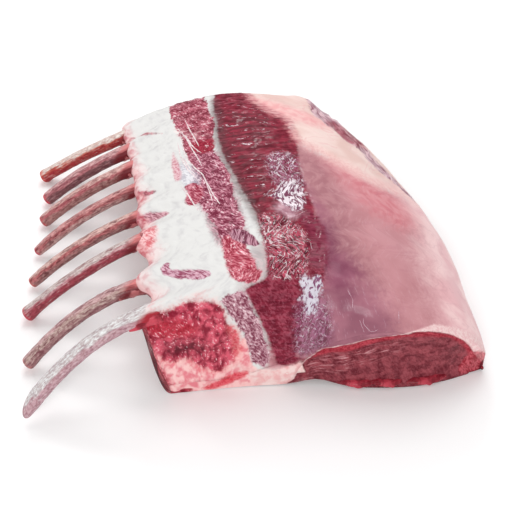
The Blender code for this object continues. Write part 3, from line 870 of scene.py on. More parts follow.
TISSUES = (
    Tissue("fat", None, (202, 200, 200), (217, 216, 214), Grain.BLOTCH, (0.24, 0.54), roughness=0.5, coat=0.04,
           relief=0.4),
    Tissue("fat_shade", WHOLE, (205, 203, 204), (210, 209, 208), soft=1, only=Grain.BROAD, only_span=(0.56, 0.7),
           strength=0.5, roughness=0.5, coat=0.04, relief=0.4),
    Tissue("edge_pink", EDGE_PINK, (220, 160, 164), (230, 210, 209), Grain.BLOTCH, (0.34, 0.54), soft=3.0,
           ragged=3.5, strength=0.7, roughness=0.4, coat=0.1, relief=0.4),
    Tissue("scar_8", RIB_SCARS, (122, 34, 52), (196, 110, 122), Grain.FLECK, soft=0.8, ragged=1.0, strength=0.85),
    Tissue("scar_5", SCAR_5, (112, 24, 46), (190, 100, 116), Grain.FLECK, soft=0.7, ragged=1.2, strength=0.9),
    Tissue("scar_4", SCAR_4, (126, 34, 62), (206, 150, 162), Grain.FLECK, soft=0.7, ragged=1.2, strength=0.9),
    Tissue("scar_3", SCAR_3, (206, 66, 80), (244, 196, 198), Grain.FLECK, (0.4, 0.62), soft=1.5, ragged=2.0,
           strength=0.75),
    Tissue("scar_2", SCAR_2, (136, 42, 78), (214, 170, 186), Grain.FLECK, (0.4, 0.62), soft=0.5, ragged=1.2,
           strength=0.95),
    Tissue("cream", CREAM, (222, 189, 182), (233, 208, 202), Grain.BROAD, (0.35, 0.65), soft=2.2, ragged=2.5,
           roughness=0.42, coat=0.05, relief=0.1),
    Tissue("cream_blush", CREAM_BLUSH, (230, 162, 164), (236, 186, 184), Grain.BLOTCH, soft=5, ragged=5,
           strength=0.85, roughness=0.4),
    Tissue("cream_veins", CREAM, (216, 140, 148), (222, 160, 162), only=Grain.VEIN, only_span=(0.2, 1.0), soft=2,
           ragged=2, strength=0.3, roughness=0.4),
    Tissue("membrane", MEMBRANE, (184, 126, 132), (198, 142, 148), Grain.BROAD, (0.3, 0.7), soft=3, ragged=4,
           roughness=0.36, coat=0.12, relief=0.1),
    Tissue("membrane_right", MEMBRANE_RIGHT, (228, 180, 184), (240, 204, 204), Grain.BROAD, soft=11, ragged=6,
           roughness=0.4),
    Tissue("membrane_left", MEMBRANE_LEFT, (160, 106, 114), (176, 124, 130), Grain.BLOTCH, soft=7, ragged=5,
           strength=0.9, roughness=0.33, coat=0.15),
    Tissue("membrane_blush", MEMBRANE_BLUSH, (212, 118, 128), (224, 148, 154), Grain.BLOTCH, soft=8, ragged=5,
           strength=0.6, roughness=0.36),
    Tissue("membrane_wisps", MEMBRANE, (210, 170, 176), (228, 200, 204), only=Grain.LENGTHWISE,
           only_span=(0.54, 0.74), soft=3, ragged=4, strength=0.13, roughness=0.36),
    Tissue("membrane_veins", MEMBRANE, (158, 92, 110), (176, 112, 126), only=Grain.VEIN, only_span=(0.1, 1.0),
           soft=2, ragged=2, strength=0.13, roughness=0.36),
    Tissue("cream_edge", CREAM_EDGE, (226, 176, 174), (236, 198, 194), Grain.FINE, soft=4, ragged=5, strength=0.6,
           roughness=0.4),
    Tissue("front_purple", FRONT_PURPLE, (126, 70, 92), (160, 100, 118), Grain.BROAD, (0.35, 0.65), soft=8,
           ragged=5, strength=0.75, roughness=0.28, coat=0.2, relief=0.15),
    Tissue("front_wisps", FRONT_PURPLE, (176, 130, 148), (206, 170, 182), Grain.FINE, soft=3, ragged=4,
           only=Grain.LENGTHWISE, only_span=(0.58, 0.72), strength=0.3, roughness=0.28, coat=0.2),
    Tissue("purple_edge", PURPLE_EDGE, (118, 54, 80), (156, 94, 114), Grain.BROAD, (0.35, 0.65), soft=5, ragged=5,
           strength=0.85, roughness=0.3, coat=0.2),
    Tissue("crimson", CRIMSON, (92, 12, 32), (156, 56, 76), Grain.CROSSWISE, (0.32, 0.68), soft=0.8, ragged=1.2,
           roughness=0.5, coat=0.05, relief=0.5),
    Tissue("crimson_broad", CRIMSON, (80, 8, 24), (146, 42, 60), Grain.BLOTCH, soft=2.5, ragged=1.5,
           strength=0.4, roughness=0.5, coat=0.05, relief=0.3),
    # Painted shade: dark lines laid in the grooves between the rows of fibre bundles on the crimson muscle.
    Tissue("crimson_row_shade", GLINTS, (74, 8, 24), (84, 12, 30), soft=4, ragged=2, only=Grain.ROWS,
           only_span=(0.4, 0.05), strength=0.65, roughness=0.5, coat=0.05, relief=-0.3),
    Tissue("crimson_haze", CRIMSON_HAZE, (136, 62, 78), (168, 104, 116), soft=2, ragged=2, only=Grain.CROSSWISE,
           only_span=(0.5, 0.66), strength=0.7, roughness=0.45, coat=0.05, relief=0.3),
    Tissue("crimson_low", CRIMSON_LOW, (98, 16, 38), (172, 96, 114), Grain.FLECK, (0.4, 0.68), soft=4, ragged=2,
           strength=0.38, roughness=0.5, coat=0.05, relief=0.3),
    Tissue("cream_fringe", CREAM_FRINGE, (172, 92, 104), (216, 156, 156), Grain.CROSSWISE, (0.4, 0.6), soft=1.8,
           ragged=2.5, strength=0.75, roughness=0.42),
    Tissue("crimson_shade", CRIMSON_SHADE, (70, 44, 48), (104, 70, 74), Grain.CROSSWISE, soft=2.0, ragged=1.0,
           strength=0.55, roughness=0.5, coat=0.03, relief=0.2),
    Tissue("glints", GLINTS, (190, 120, 138), (242, 224, 230), Grain.FINE, (0.3, 0.6), soft=4, ragged=2,
           only=Grain.GLINT, only_span=(0.3, 0.85), strength=0.95, roughness=0.2, coat=0.3, relief=0.6),
    Tissue("purple_flesh", PURPLE_FLESH, (104, 16, 44), (132, 46, 70), Grain.CROSSWISE, soft=1.5, ragged=2,
           strength=0.9, roughness=0.25, coat=0.3),
    Tissue("film_upper", FILM_UPPER, (98, 22, 52), (170, 104, 134), Grain.FACET, (0.4, 0.6), soft=2.5, ragged=4,
           strength=0.6, roughness=0.2, coat=0.3, relief=0.8),
    # Painted highlights: white crinkle lines on the upper film.
    Tissue("film_glint_lines", FILM_UPPER, (206, 172, 192), (248, 240, 244), Grain.FINE, soft=2.5, ragged=4,
           only=Grain.CRINKLE, only_span=(0.3, 0.9), strength=0.8, roughness=0.18, coat=0.3, relief=0.6),
    Tissue("film_haze", FILM_HAZE, (166, 116, 132), (206, 172, 184), soft=3, ragged=3, strength=0.7,
           roughness=0.2, coat=0.3),
    Tissue("film_white", FILM_WHITE, (112, 48, 80), (238, 228, 234), Grain.FACET, (0.44, 0.54), soft=1.2, ragged=4,
           strength=0.92, roughness=0.2, coat=0.35, relief=0.8),
    Tissue("film_red", FILM_LOWER, (84, 8, 30), (190, 78, 100), Grain.FACET, (0.38, 0.62), soft=1.5, ragged=3,
           strength=0.9, roughness=0.2, coat=0.3, relief=0.8),
    # Painted reflections: white crinkle lines on the lower film.
    Tissue("film_lower_glints", FILM_LOWER, (196, 140, 156), (242, 226, 228), Grain.FINE, (0.35, 0.6), soft=1.5, ragged=3,
           only=Grain.CRINKLE, only_span=(0.3, 0.9), strength=0.8, roughness=0.18, coat=0.3, relief=0.7),
    Tissue("strip", STRIP, (124, 24, 48), (188, 86, 104), Grain.BLOTCH, (0.34, 0.64), soft=0.4, ragged=2.2,
           roughness=0.42, coat=0.12, relief=0.6),
    Tissue("strip_fibres", STRIP, (108, 18, 42), (206, 126, 142), Grain.FLECK, (0.38, 0.64), soft=0.6, ragged=2.2,
           strength=0.65, roughness=0.42, coat=0.12, relief=0.5),
    Tissue("strip_middle", STRIP_MIDDLE, (112, 34, 60), (198, 130, 150), Grain.FLECK, (0.4, 0.64), soft=2.0,
           ragged=2.5, strength=0.75, roughness=0.42, coat=0.12, relief=0.5),
    Tissue("strip_deep", STRIP_DEEP, (128, 16, 40), (168, 48, 70), Grain.FINE, soft=1.0, ragged=1.5,
           roughness=0.42, coat=0.12),
    Tissue("strip_lobe", STRIP_LOBE, (152, 30, 56), (218, 124, 138), Grain.FLECK, (0.38, 0.64), soft=1.0,
           ragged=1.5, strength=0.9, roughness=0.28, coat=0.3, relief=0.6),
    Tissue("finger", FINGER, (104, 36, 62), (190, 140, 156), Grain.LENGTHWISE, (0.4, 0.6), soft=0.4, ragged=1.0),
    Tissue("strip_flecks", STRIP, (224, 190, 196), (240, 226, 228), Grain.FINE, soft=0.6, ragged=1,
           only=Grain.FLECK, only_span=(0.6, 0.68), strength=0.8, roughness=0.3, coat=0.3, relief=0.5),
    Tissue("strip_break", STRIP_BREAK, (196, 120, 132), (238, 222, 220), soft=1.0, ragged=2.5,
           only=Grain.CROSSWISE, only_span=(0.5, 0.6), strength=0.6, roughness=0.35),
    Tissue("grey_patch", GREY_PATCH, (176, 170, 184), (226, 224, 230), Grain.FLECK, (0.4, 0.6), soft=2, ragged=2,
           strength=0.7, roughness=0.25, coat=0.3),
    Tissue("side_lobe", SIDE_LOBE, (142, 30, 58), (212, 136, 150), Grain.FLECK, (0.4, 0.64), soft=0.5, ragged=1.8,
           coat=0.25, relief=0.4),
    Tissue("sliver", SLIVER, (188, 96, 114), (224, 180, 188), Grain.FINE, soft=0.8, ragged=1.5, strength=0.8),
    Tissue("fibre_strip", FIBRE_STRIP, (142, 88, 104), (220, 186, 194), Grain.LENGTHWISE, (0.38, 0.62), soft=1,
           ragged=3, roughness=0.35, coat=0.15, relief=0.5),
    Tissue("fibre_red", FIBRE_RED, (124, 36, 54), (180, 96, 110), Grain.LENGTHWISE, (0.4, 0.6), soft=2,
           ragged=3, strength=0.85, roughness=0.3, coat=0.15, relief=0.5),
    Tissue("far_seam", FAR_SEAM, (150, 68, 80), (204, 150, 156), Grain.LENGTHWISE, soft=1.5, ragged=2, strength=0.7),
    Tissue("low_fat", LOW_FAT, (222, 128, 138), (240, 194, 192), Grain.BLOTCH, (0.36, 0.6), soft=0.8, ragged=2,
           relief=0.5),
    Tissue("low_white", LOW_WHITE, (228, 182, 180), (234, 212, 208), Grain.BLOTCH, soft=2.5, ragged=2.5,
           strength=0.85, relief=0.4),
    Tissue("flap_glow", FLAP, (222, 92, 96), (236, 166, 162), Grain.BLOTCH, soft=3.5, ragged=3.5, strength=0.7,
           relief=0.4),
    Tissue("flap", FLAP, (130, 18, 44), (208, 84, 104), Grain.BLOTCH, (0.36, 0.62), soft=1.0, ragged=2,
           roughness=0.28, coat=0.35, relief=0.4),
    Tissue("flap_red", FLAP_RED, (152, 12, 32), (190, 42, 62), Grain.FINE, soft=2.5, ragged=2, strength=0.75,
           roughness=0.24, coat=0.4, relief=0.3),
    # Painted shade: the flap's hollow is darkened where shade falls in it.
    Tissue("flap_hollow_shade", FLAP_HOLLOW, (86, 10, 30), (140, 36, 56), Grain.BLOTCH, soft=3.0, ragged=2.5,
           strength=0.85, roughness=0.26, coat=0.35, relief=0.2),
    Tissue("flap_flecks", FLAP, (224, 120, 138), (246, 210, 216), Grain.FINE, soft=0.6, ragged=1,
           only=Grain.FLECK, only_span=(0.59, 0.68), strength=0.7, roughness=0.24, coat=0.35, relief=0.4),
    Tissue("flap_rim", FLAP_RIM, (206, 76, 84), (226, 132, 132), Grain.FINE, soft=1.5, ragged=2, strength=0.6),
    Tissue("red_streak", RED_STREAK, (200, 42, 60), (222, 92, 104), Grain.FINE, soft=0.8, ragged=1.5, strength=0.9),
    Tissue("mottled", MOTTLED, (122, 52, 74), (198, 150, 162), Grain.FLECK, (0.36, 0.62), soft=0.5, ragged=2,
           coat=0.25, relief=0.5),
    Tissue("mottled_flecks", MOTTLED, (220, 190, 198), (238, 224, 226), Grain.FINE, soft=0.5, ragged=1,
           only=Grain.FLECK, only_span=(0.6, 0.68), strength=0.8, coat=0.3, relief=0.5),
    Tissue("crinkled_front", CRINKLED_FRONT, (88, 22, 52), (158, 98, 130), Grain.FACET, (0.36, 0.64), soft=3,
           ragged=3, strength=0.72, roughness=0.2, coat=0.3, relief=0.7),
    Tissue("front_glints", CRINKLED_FRONT, (196, 156, 176), (240, 230, 238), Grain.FINE, soft=2.5, ragged=4,
           only=Grain.CRINKLE, only_span=(0.6, 1.0), strength=0.4, roughness=0.2, coat=0.3, relief=0.4),
    Tissue("glare", GLARE, (128, 76, 110), (214, 211, 221), Grain.FACET, (0.41, 0.5), soft=1.0, ragged=3.0,
           strength=0.88, roughness=0.2, coat=0.3, relief=0.5),
    Tissue("eye_cut", EYE_CUT, (100, 28, 42), (168, 90, 100), Grain.FLECK, (0.34, 0.68), soft=0.4, ragged=0.8,
           roughness=0.42, coat=0.12, relief=0.4),
    Tissue("eye_grain", EYE_CUT, (86, 16, 28), (158, 76, 84), Grain.SLANTED, (0.34, 0.66), soft=0.4, ragged=0.8,
           strength=0.4, roughness=0.42, coat=0.12, relief=0.3),
    Tissue("eye_blotch", EYE_CUT, (86, 18, 30), (152, 68, 76), Grain.BLOTCH, soft=2, ragged=0.8, strength=0.4,
           roughness=0.42, coat=0.12, relief=0.4),
    Tissue("eye_folds", EYE_FOLDS, (186, 116, 124), (214, 164, 168), soft=3.0, ragged=2, only=Grain.SLANTED,
           only_span=(0.54, 0.68), strength=0.7),
    Tissue("eye_red", EYE_RED, (146, 24, 42), (186, 64, 78), Grain.FINE, soft=0.9, ragged=0.8, strength=0.8),
    Tissue("eye_lip", EYE_LIP, (228, 184, 186), (238, 210, 208), Grain.FINE, soft=0.4, ragged=0.5, strength=0.9,
           roughness=0.35, coat=0.1),
    Tissue("eye_nub", EYE_NUB, (150, 28, 44), (200, 86, 98), Grain.FLECK, soft=0.8, ragged=1.5, strength=0.8,
           coat=0.3),
    Tissue("raw_edge", RAW_EDGE, (186, 80, 92), (228, 176, 176), Grain.BLOTCH, soft=1.5, ragged=2.5, strength=0.7,
           roughness=0.32, coat=0.15, relief=0.4),
    Tissue("flap_side", FLAP_SIDE, (150, 28, 50), (218, 122, 132), Grain.FLECK, soft=2, ragged=2.5, strength=0.9,
           roughness=0.32, coat=0.2, relief=0.4),
    Tissue("underside", UNDERSIDE, (186, 116, 122), (220, 170, 168), Grain.FLECK, (0.3, 0.7), soft=1.5, ragged=2.5,
           roughness=0.35, coat=0.15, relief=0.3),
    Tissue("underside_broad", UNDERSIDE, (176, 96, 106), (226, 178, 174), Grain.BROAD, (0.35, 0.65), soft=3,
           ragged=2.5, strength=0.5, roughness=0.35, coat=0.15, relief=0.3),
    Tissue("flap_under", FLAP_UNDER, (116, 18, 36), (180, 62, 78), Grain.BLOTCH, soft=1.0, ragged=2.0,
           roughness=0.35, coat=0.2, relief=0.3),
)


class MeatFinish:
    """The material of one stretch of the meat, with every tissue laid over the ones before it."""

    def __init__(self, name: str, tissues: Sequence[Tissue], labels: dict[Area, str], place: str) -> None:
        """Keeps the tissues that reach this stretch, from the lowest to the topmost.

        Args:
            name: the material's name.
            tissues: the tissues.
            labels: the attribute that holds the distance from each area's outline.
            place: the attribute that says where on the surface a point lies, in mm.
        """
        self.name = name
        self.tissues = tissues
        self.labels = labels
        self.place = place

    def build(self) -> bpy.types.Material:
        """Makes the material."""
        material = bpy.data.materials.new(self.name)
        material.use_nodes = True
        wiring = Wiring(material.node_tree)
        shader = material.node_tree.nodes["Principled BSDF"]
        place = wiring.add("ShaderNodeAttribute", attribute_name=self.place).outputs["Vector"]
        grains = TissueGrain.place(wiring, place)
        edge = wiring.math("SUBTRACT", grains[Grain.EDGE], 0.5)
        colour: object = linear((255, 255, 255))
        for tissue in self.tissues:
            colour = wiring.blend(self.shown(wiring, tissue, grains, edge), colour, self.own(wiring, tissue, grains))
        height: object = 0.0
        for grain in RELIEF_GRAINS:
            amount = wiring.add("ShaderNodeAttribute", attribute_name=relief_label(grain)).outputs["Fac"]
            height = wiring.math("MULTIPLY_ADD", grains[grain], amount, height)
        bump = wiring.add("ShaderNodeBump", {"Height": height, "Strength": 1.0, "Distance": MM})
        wiring.feed(shader.inputs["Base Color"], colour)
        for socket, label in (("Roughness", "roughness"), ("Coat Weight", "coat")):
            wiring.feed(shader.inputs[socket], wiring.add("ShaderNodeAttribute", attribute_name=label).outputs["Fac"])
        wiring.feed(shader.inputs["Normal"], bump.outputs["Normal"])
        shader.inputs["Coat Roughness"].default_value = 0.12
        shader.inputs["Specular IOR Level"].default_value = 0.04
        return material

    def shown(self, wiring: Wiring, tissue: Tissue, grains: dict, edge: object) -> object:
        """How far a tissue covers those under it, 0 to 1."""
        mask: object = tissue.strength
        if tissue.area is not None:
            label = self.labels[tissue.area]
            distance = wiring.add("ShaderNodeAttribute", attribute_name=label).outputs["Fac"]
            strayed = wiring.math("MULTIPLY_ADD", edge, 2.5 * tissue.ragged, distance)
            mask = wiring.ramp(strayed, -tissue.soft, tissue.soft, 0.0, tissue.strength)
        if tissue.only is not None:
            mask = wiring.math("MULTIPLY", mask, wiring.ramp(grains[tissue.only], *tissue.only_span))
        return mask

    def own(self, wiring: Wiring, tissue: Tissue, grains: dict) -> bpy.types.NodeSocket:
        """A tissue's own colour."""
        share = wiring.ramp(grains[tissue.grain], *tissue.span)
        return wiring.blend(share, linear(tissue.dark), linear(tissue.light))


RELIEF_GRAINS = (
    Grain.LENGTHWISE, Grain.CROSSWISE, Grain.SLANTED, Grain.FINE, Grain.FLECK, Grain.GLINT, Grain.BLOTCH,
    Grain.BROAD, Grain.ROWS, Grain.FACET, Grain.CRINKLE,
)


def relief_label(grain: Grain) -> str:
    """The attribute that says how strongly a pattern stands out, in mm."""
    return "relief_" + grain.value.lower()


# ---- The meat -----------------------------------------------------------------------------
@dataclass
class MeatSkin:
    """The whole piece of meat and fat, as one closed mesh."""

    form: MeatForm = field(default_factory=MeatForm)
    tissues: Sequence[Tissue] = TISSUES
    rib_side_x: float = 98.0
    back_side_x: float = 127.0
    front_depth: float = 14.0
    border: float = 5.0
    foot_lift: float = 3.5
    brim: float = 1.3

    def build(self) -> bpy.types.Object:
        """Makes the mesh, its relief and what its materials read."""
        surface = self.form.build()
        mesh = bpy.data.meshes.new("meat_skin")
        mesh.from_pydata(((surface.places - ORIGIN) * MM).tolist(), [], surface.faces)
        mesh.update()
        normals = np.zeros(len(mesh.vertices) * 3, np.float32)
        mesh.vertex_normals.foreach_get("vector", normals)
        self.labels: dict[Area, str] = {}
        self.distances: dict[str, Array] = {}
        for tissue in self.tissues:
            if tissue.area is not None and tissue.area not in self.labels:
                self.labels[tissue.area] = tissue.name
                self.distances[tissue.name] = tissue.area.distance(surface)
        relief = self.relief(surface)
        places = surface.places + normals.reshape(-1, 3) * relief[:, None]
        lift = self.foot_lift * np.exp(-(((places[:, 0] - 118) / 8) ** 2)) * (1 - smoothstep(surface.inset / 14))
        places[:, 2] += lift * np.clip(1 - places[:, 2] / 25, 0, 1)
        places[:, 2] = np.maximum(0.0, places[:, 2])
        self.places, self.surface = places, surface
        mesh.vertices.foreach_set("co", ((places - ORIGIN) * MM).astype(np.float32).ravel())
        values = {**self.distances, **self.sheen()}
        for name, value in values.items():
            mesh.attributes.new(name, "FLOAT", "POINT").data.foreach_set("value", value.astype(np.float32))
        count = len(places)
        for name, plan in (("flow", surface.flow), ("ground", surface.places[:, :2] + 300)):
            value = np.column_stack([plan, np.zeros(count)]).astype(np.float32)
            mesh.attributes.new(name, "FLOAT_VECTOR", "POINT").data.foreach_set("vector", value.ravel())
        mesh.shade_smooth()
        self.add_materials(mesh, surface)
        mesh.update()
        obj = bpy.data.objects.new("meat_skin", mesh)
        bpy.context.scene.collection.objects.link(obj)
        return obj

    def sheen(self) -> dict[str, Array]:
        """Roughness, wet film and strength of each fine pattern, point by point."""
        count = len(next(iter(self.distances.values())))
        values = {name: np.zeros(count) for name in ("roughness", "coat", *map(relief_label, RELIEF_GRAINS))}
        for tissue in self.tissues:
            mask = np.full(count, tissue.strength)
            if tissue.area is not None:
                distance = self.distances[self.labels[tissue.area]]
                mask = tissue.strength * smoothstep(distance / (2 * tissue.soft) + 0.5)
            own = {"roughness": tissue.roughness, "coat": tissue.coat}
            own[relief_label(tissue.only or tissue.grain)] = tissue.relief
            if tissue.only is not None:
                mask = mask * 0.5
            for name in values:
                if tissue.only is None or name in own:
                    values[name] += mask * (own.get(name, 0.0) - values[name])
        return values

    def add_materials(self, mesh: bpy.types.Mesh, surface: Surface) -> None:
        """Gives each stretch of the meat a material of the tissues that reach it."""
        x = surface.flat[:, 0]
        front = surface.inset < self.front_depth
        stretch = np.select(
            [front & (x < self.rib_side_x), front, x < self.rib_side_x, x < self.back_side_x], [1, 2, 3, 4], 5
        )
        of_face = np.array([stretch[face[0]] for face in surface.faces], np.int32)
        of_face[[min(surface.deep[v] for v in face) > self.border for face in surface.faces]] = 0
        names = ("underside", "front_flap", "front_eye", "rib_side", "middle", "back_side")
        for index, name in enumerate(names):
            corners = sorted({v for f in np.flatnonzero(of_face == index) for v in surface.faces[f]})
            reaching = [t for t in self.tissues if self.reaches(t, corners)]
            place = "flow" if index else "ground"
            mesh.materials.append(MeatFinish(f"raw_{name}", reaching, self.labels, place).build())
            LOG.info("raw_%s: %d tissues", name, len(reaching))
        mesh.polygons.foreach_set("material_index", of_face)

    def reaches(self, tissue: Tissue, corners: list[int]) -> bool:
        """True if a tissue shows at any of the given points."""
        if tissue.area is None:
            return True
        nearest = self.distances[self.labels[tissue.area]][corners].max()
        return nearest > -(tissue.soft + 1.25 * tissue.ragged)

    def over(self, points: Sequence[tuple[float, float]], lift: float) -> Array:
        """A smooth line over the finished meat.

        Args:
            points: x and unrolled y of the points it passes.
            lift: how far it lies above the surface, in mm.

        Returns:
            Its points in space, about 1 mm apart.
        """
        corners = np.array(points, float)
        length = np.hypot(*np.diff(corners, axis=0).T).sum()
        ring = np.vstack([corners, corners[::-1]])
        line = closed_spline(ring, np.linspace(0, len(corners) - 1, max(8, int(length))))
        top = np.flatnonzero(self.surface.under < 0.5)
        found = []
        for x, y in line:
            near = top[np.argsort(np.hypot(*(self.surface.flat[top] - (x, y)).T))[:6]]
            gap = np.hypot(*(self.surface.flat[near] - (x, y)).T) + 0.05
            found.append(np.average(self.places[near], axis=0, weights=1 / gap))
        path = np.array(found)
        path[:, 2] += lift
        return path

    def inside(self, area: Area, soft: float = 2.0) -> Array:
        """0 outside an area to 1 inside it, eased over a width in mm."""
        return smoothstep(self.distances[self.labels[area]] / soft + 0.5)

    def relief(self, surface: Surface) -> Array:
        """Height of the surface over its bare form, in mm."""
        flow = np.column_stack([surface.flow, surface.under * 40])
        x, y, z = surface.places.T
        red, strip, flap = self.inside(CRIMSON), self.inside(STRIP), self.inside(FLAP)
        fat = np.clip(1 - red - strip - self.inside(CREAM) - self.inside(MEMBRANE), 0, 1)
        soft = Lumps(11).at(flow, (15, 19, 10), 2)
        lumpy = Lumps(12).at(flow, (6.5, 8.0, 6), 3)
        small = Lumps(13).at(flow, (2.6, 3.2, 3), 2)
        crease = 1 - smoothstep(np.abs(Lumps(14).at(flow, (11, 9, 8), 2)) / 0.12)
        fold = Lumps(15).at(flow, (9, 2.6, 5), 2)
        height = 0.35 * soft + fat * (0.3 * lumpy + 0.06 * small - 0.2 * crease)
        height += red * (0.5 * fold + 0.15 * small)
        height -= 0.5 * self.inside(CRIMSON, 3) * (1 - self.inside(CRIMSON, 18))
        height += strip * (0.3 * lumpy + 0.25 * small - 0.35)
        height += (self.inside(FILM_UPPER) + self.inside(FILM_LOWER) + self.inside(FILM_WHITE)) * 0.4 * small
        height += self.inside(MEMBRANE) * 0.12 * lumpy + self.inside(CREAM) * 0.3 * lumpy
        height += self.inside(FIBRE_STRIP) * (0.6 * Lumps(16).at(flow, (2.2, 14, 5), 2) - 0.3)
        height += flap * (0.8 * lumpy + 0.4 * small - 0.2)
        height -= 1.3 * self.inside(FLAP_HOLLOW, 5)
        height += self.inside(MOTTLED) * (0.3 * small - 0.2)
        height += self.inside(EYE_CUT) * (0.35 * Lumps(17).at(flow, (9, 2.2, 5), 2) + 0.3 * lumpy - 0.7)
        height += 0.5 * (self.inside(EYE_CUT, 4) * (1 - self.inside(EYE_CUT, 0.5))) * (surface.inset < 12)
        roots = sum(np.exp(-(((y - root) / 5.5) ** 2)) for root in self.form.root_ys)
        edge = 1 - smoothstep((x - 54) / 26)
        height += edge * (1.1 * roots - 0.3) * smoothstep((y - 9) / 6)
        brim = 1 - smoothstep((surface.flow[:, 0] - 1) / 9)
        height += self.brim * brim * smoothstep((y - 40) / 20) * (1 - roots)
        under_rib = smoothstep((x - 60) / 14) * (1 - smoothstep((x - 118) / 20))
        below = 0.3 * soft + under_rib * (1.3 * roots - 0.5)
        return np.where(surface.under > 0.5, below, height)

    def dress(self, obj: bpy.types.Object) -> None:
        """Gives the mesh its place in the frame."""
        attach(obj, BODY)
        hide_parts("meat")
        report(obj)


def report(obj: bpy.types.Object) -> None:
    """Logs a finished piece."""
    LOG.info("%s: %d faces", obj.name, len(obj.data.polygons))


# ---- What follows a path: bones, collars, threads ---------------------------------------------
class SweepTree:
    """The Geometry Nodes tree that draws an uneven oval bar along each edge path of a mesh.

    The path's points carry "swell", the bar's size there as a share of its full size. The bar
    gets "flow", its place in mm: across the bar, along it, and up.
    """

    tree: bpy.types.NodeTree | None = None
    names = ("Width", "Thickness", "Unevenness", "Lump Size", "Seed", "Slant")

    @classmethod
    def build(cls) -> bpy.types.NodeTree:
        """Makes the tree, once."""
        tree = bpy.data.node_groups.new("Uneven bar", "GeometryNodeTree")
        tree.interface.new_socket("Path", in_out="INPUT", socket_type="NodeSocketGeometry")
        for name in cls.names:
            tree.interface.new_socket(name, in_out="INPUT", socket_type="NodeSocketFloat")
        tree.interface.new_socket("Sides", in_out="INPUT", socket_type="NodeSocketInt")
        tree.interface.new_socket("Material", in_out="INPUT", socket_type="NodeSocketMaterial")
        tree.interface.new_socket("Bar", in_out="OUTPUT", socket_type="NodeSocketGeometry")
        w = Wiring(tree)
        given = w.add("NodeGroupInput").outputs
        curve = w.add("GeometryNodeMeshToCurve", {"Mesh": given["Path"]}).outputs["Curve"]
        spine = w.add("GeometryNodeInputPosition").outputs[0]
        stored = cls.store(w, curve, "spine", spine, "FLOAT_VECTOR")
        length = w.add("GeometryNodeSplineParameter").outputs["Length"]
        stored = cls.store(w, stored, "way", w.math("DIVIDE", length, MM), "FLOAT")
        stored = cls.store(w, stored, "heading", w.add("GeometryNodeInputTangent").outputs[0], "FLOAT_VECTOR")
        upright = w.add("GeometryNodeSetCurveNormal", {"Curve": stored}, mode="Z_UP").outputs[0]
        circle = w.add("GeometryNodeCurvePrimitiveCircle", {"Resolution": given["Sides"], "Radius": 0.5})
        oval = w.add("GeometryNodeTransform", {"Geometry": circle.outputs["Curve"]})
        size = w.add("ShaderNodeCombineXYZ", {"X": given["Width"], "Y": given["Thickness"], "Z": 1.0})
        w.feed(oval.inputs["Scale"], size.outputs[0])
        swell = w.add("GeometryNodeInputNamedAttribute", {"Name": "swell"}, data_type="FLOAT")
        bar = w.add(
            "GeometryNodeCurveToMesh",
            {"Curve": upright, "Profile Curve": oval.outputs[0], "Scale": swell.outputs[0], "Fill Caps": True},
        ).outputs[0]
        middle = w.add("GeometryNodeInputNamedAttribute", {"Name": "spine"}, data_type="FLOAT_VECTOR")
        offset = w.add(
            "ShaderNodeVectorMath", {0: w.add("GeometryNodeInputPosition").outputs[0], 1: middle.outputs[0]},
            operation="SUBTRACT",
        )
        parts = w.add("ShaderNodeSeparateXYZ", {0: offset.outputs[0]}).outputs
        way = w.add("GeometryNodeInputNamedAttribute", {"Name": "way"}, data_type="FLOAT").outputs[0]
        flow = w.add(
            "ShaderNodeCombineXYZ",
            {"X": w.math("DIVIDE", parts["Y"], MM), "Y": way, "Z": w.math("DIVIDE", parts["Z"], MM)},
        ).outputs[0]
        bar = cls.store(w, bar, "flow", flow, "FLOAT_VECTOR")
        known = w.add("GeometryNodeInputNamedAttribute", {"Name": "flow"}, data_type="FLOAT_VECTOR").outputs[0]
        lump = w.add("ShaderNodeCombineXYZ", {i: given["Lump Size"] for i in range(3)}).outputs[0]
        scaled = w.add("ShaderNodeVectorMath", {0: known, 1: lump}, operation="DIVIDE").outputs[0]
        seed = w.add("ShaderNodeCombineXYZ", {i: given["Seed"] for i in range(3)}).outputs[0]
        moved = w.add("ShaderNodeVectorMath", {0: scaled, 1: seed}, operation="ADD").outputs[0]
        noise = w.add("ShaderNodeTexNoise", {"Vector": moved, "Scale": 1.0, "Detail": 3.0}).outputs["Fac"]
        rise = w.math("MULTIPLY", w.math("SUBTRACT", noise, 0.5), w.math("MULTIPLY", given["Unevenness"], 2.0))
        normal = w.add("GeometryNodeInputNormal").outputs[0]
        push = w.add("ShaderNodeVectorMath", {0: normal, "Scale": rise}, operation="SCALE").outputs[0]
        side = w.math("DIVIDE", parts["Y"], given["Width"])
        near_tip = w.ramp(way, 0.0, 17.0, 1.0, 0.0)
        back = w.math("MULTIPLY", w.math("MULTIPLY", w.math("ADD", side, 0.5), given["Slant"]), near_tip)
        heading = w.add("GeometryNodeInputNamedAttribute", {"Name": "heading"}, data_type="FLOAT_VECTOR").outputs[0]
        cut = w.add("ShaderNodeVectorMath", {0: heading, "Scale": back}, operation="SCALE").outputs[0]
        shift = w.add("ShaderNodeVectorMath", {0: push, 1: cut}, operation="ADD").outputs[0]
        bar = w.add("GeometryNodeSetPosition", {"Geometry": bar, "Offset": shift}).outputs[0]
        bar = w.add("GeometryNodeSetShadeSmooth", {"Geometry": bar, "Shade Smooth": True}).outputs[0]
        bar = w.add("GeometryNodeRealizeInstances", {"Geometry": bar}).outputs[0]
        bar = w.add("GeometryNodeSetMaterial", {"Geometry": bar, "Material": given["Material"]}).outputs[0]
        w.feed(w.add("NodeGroupOutput").inputs["Bar"], bar)
        return tree

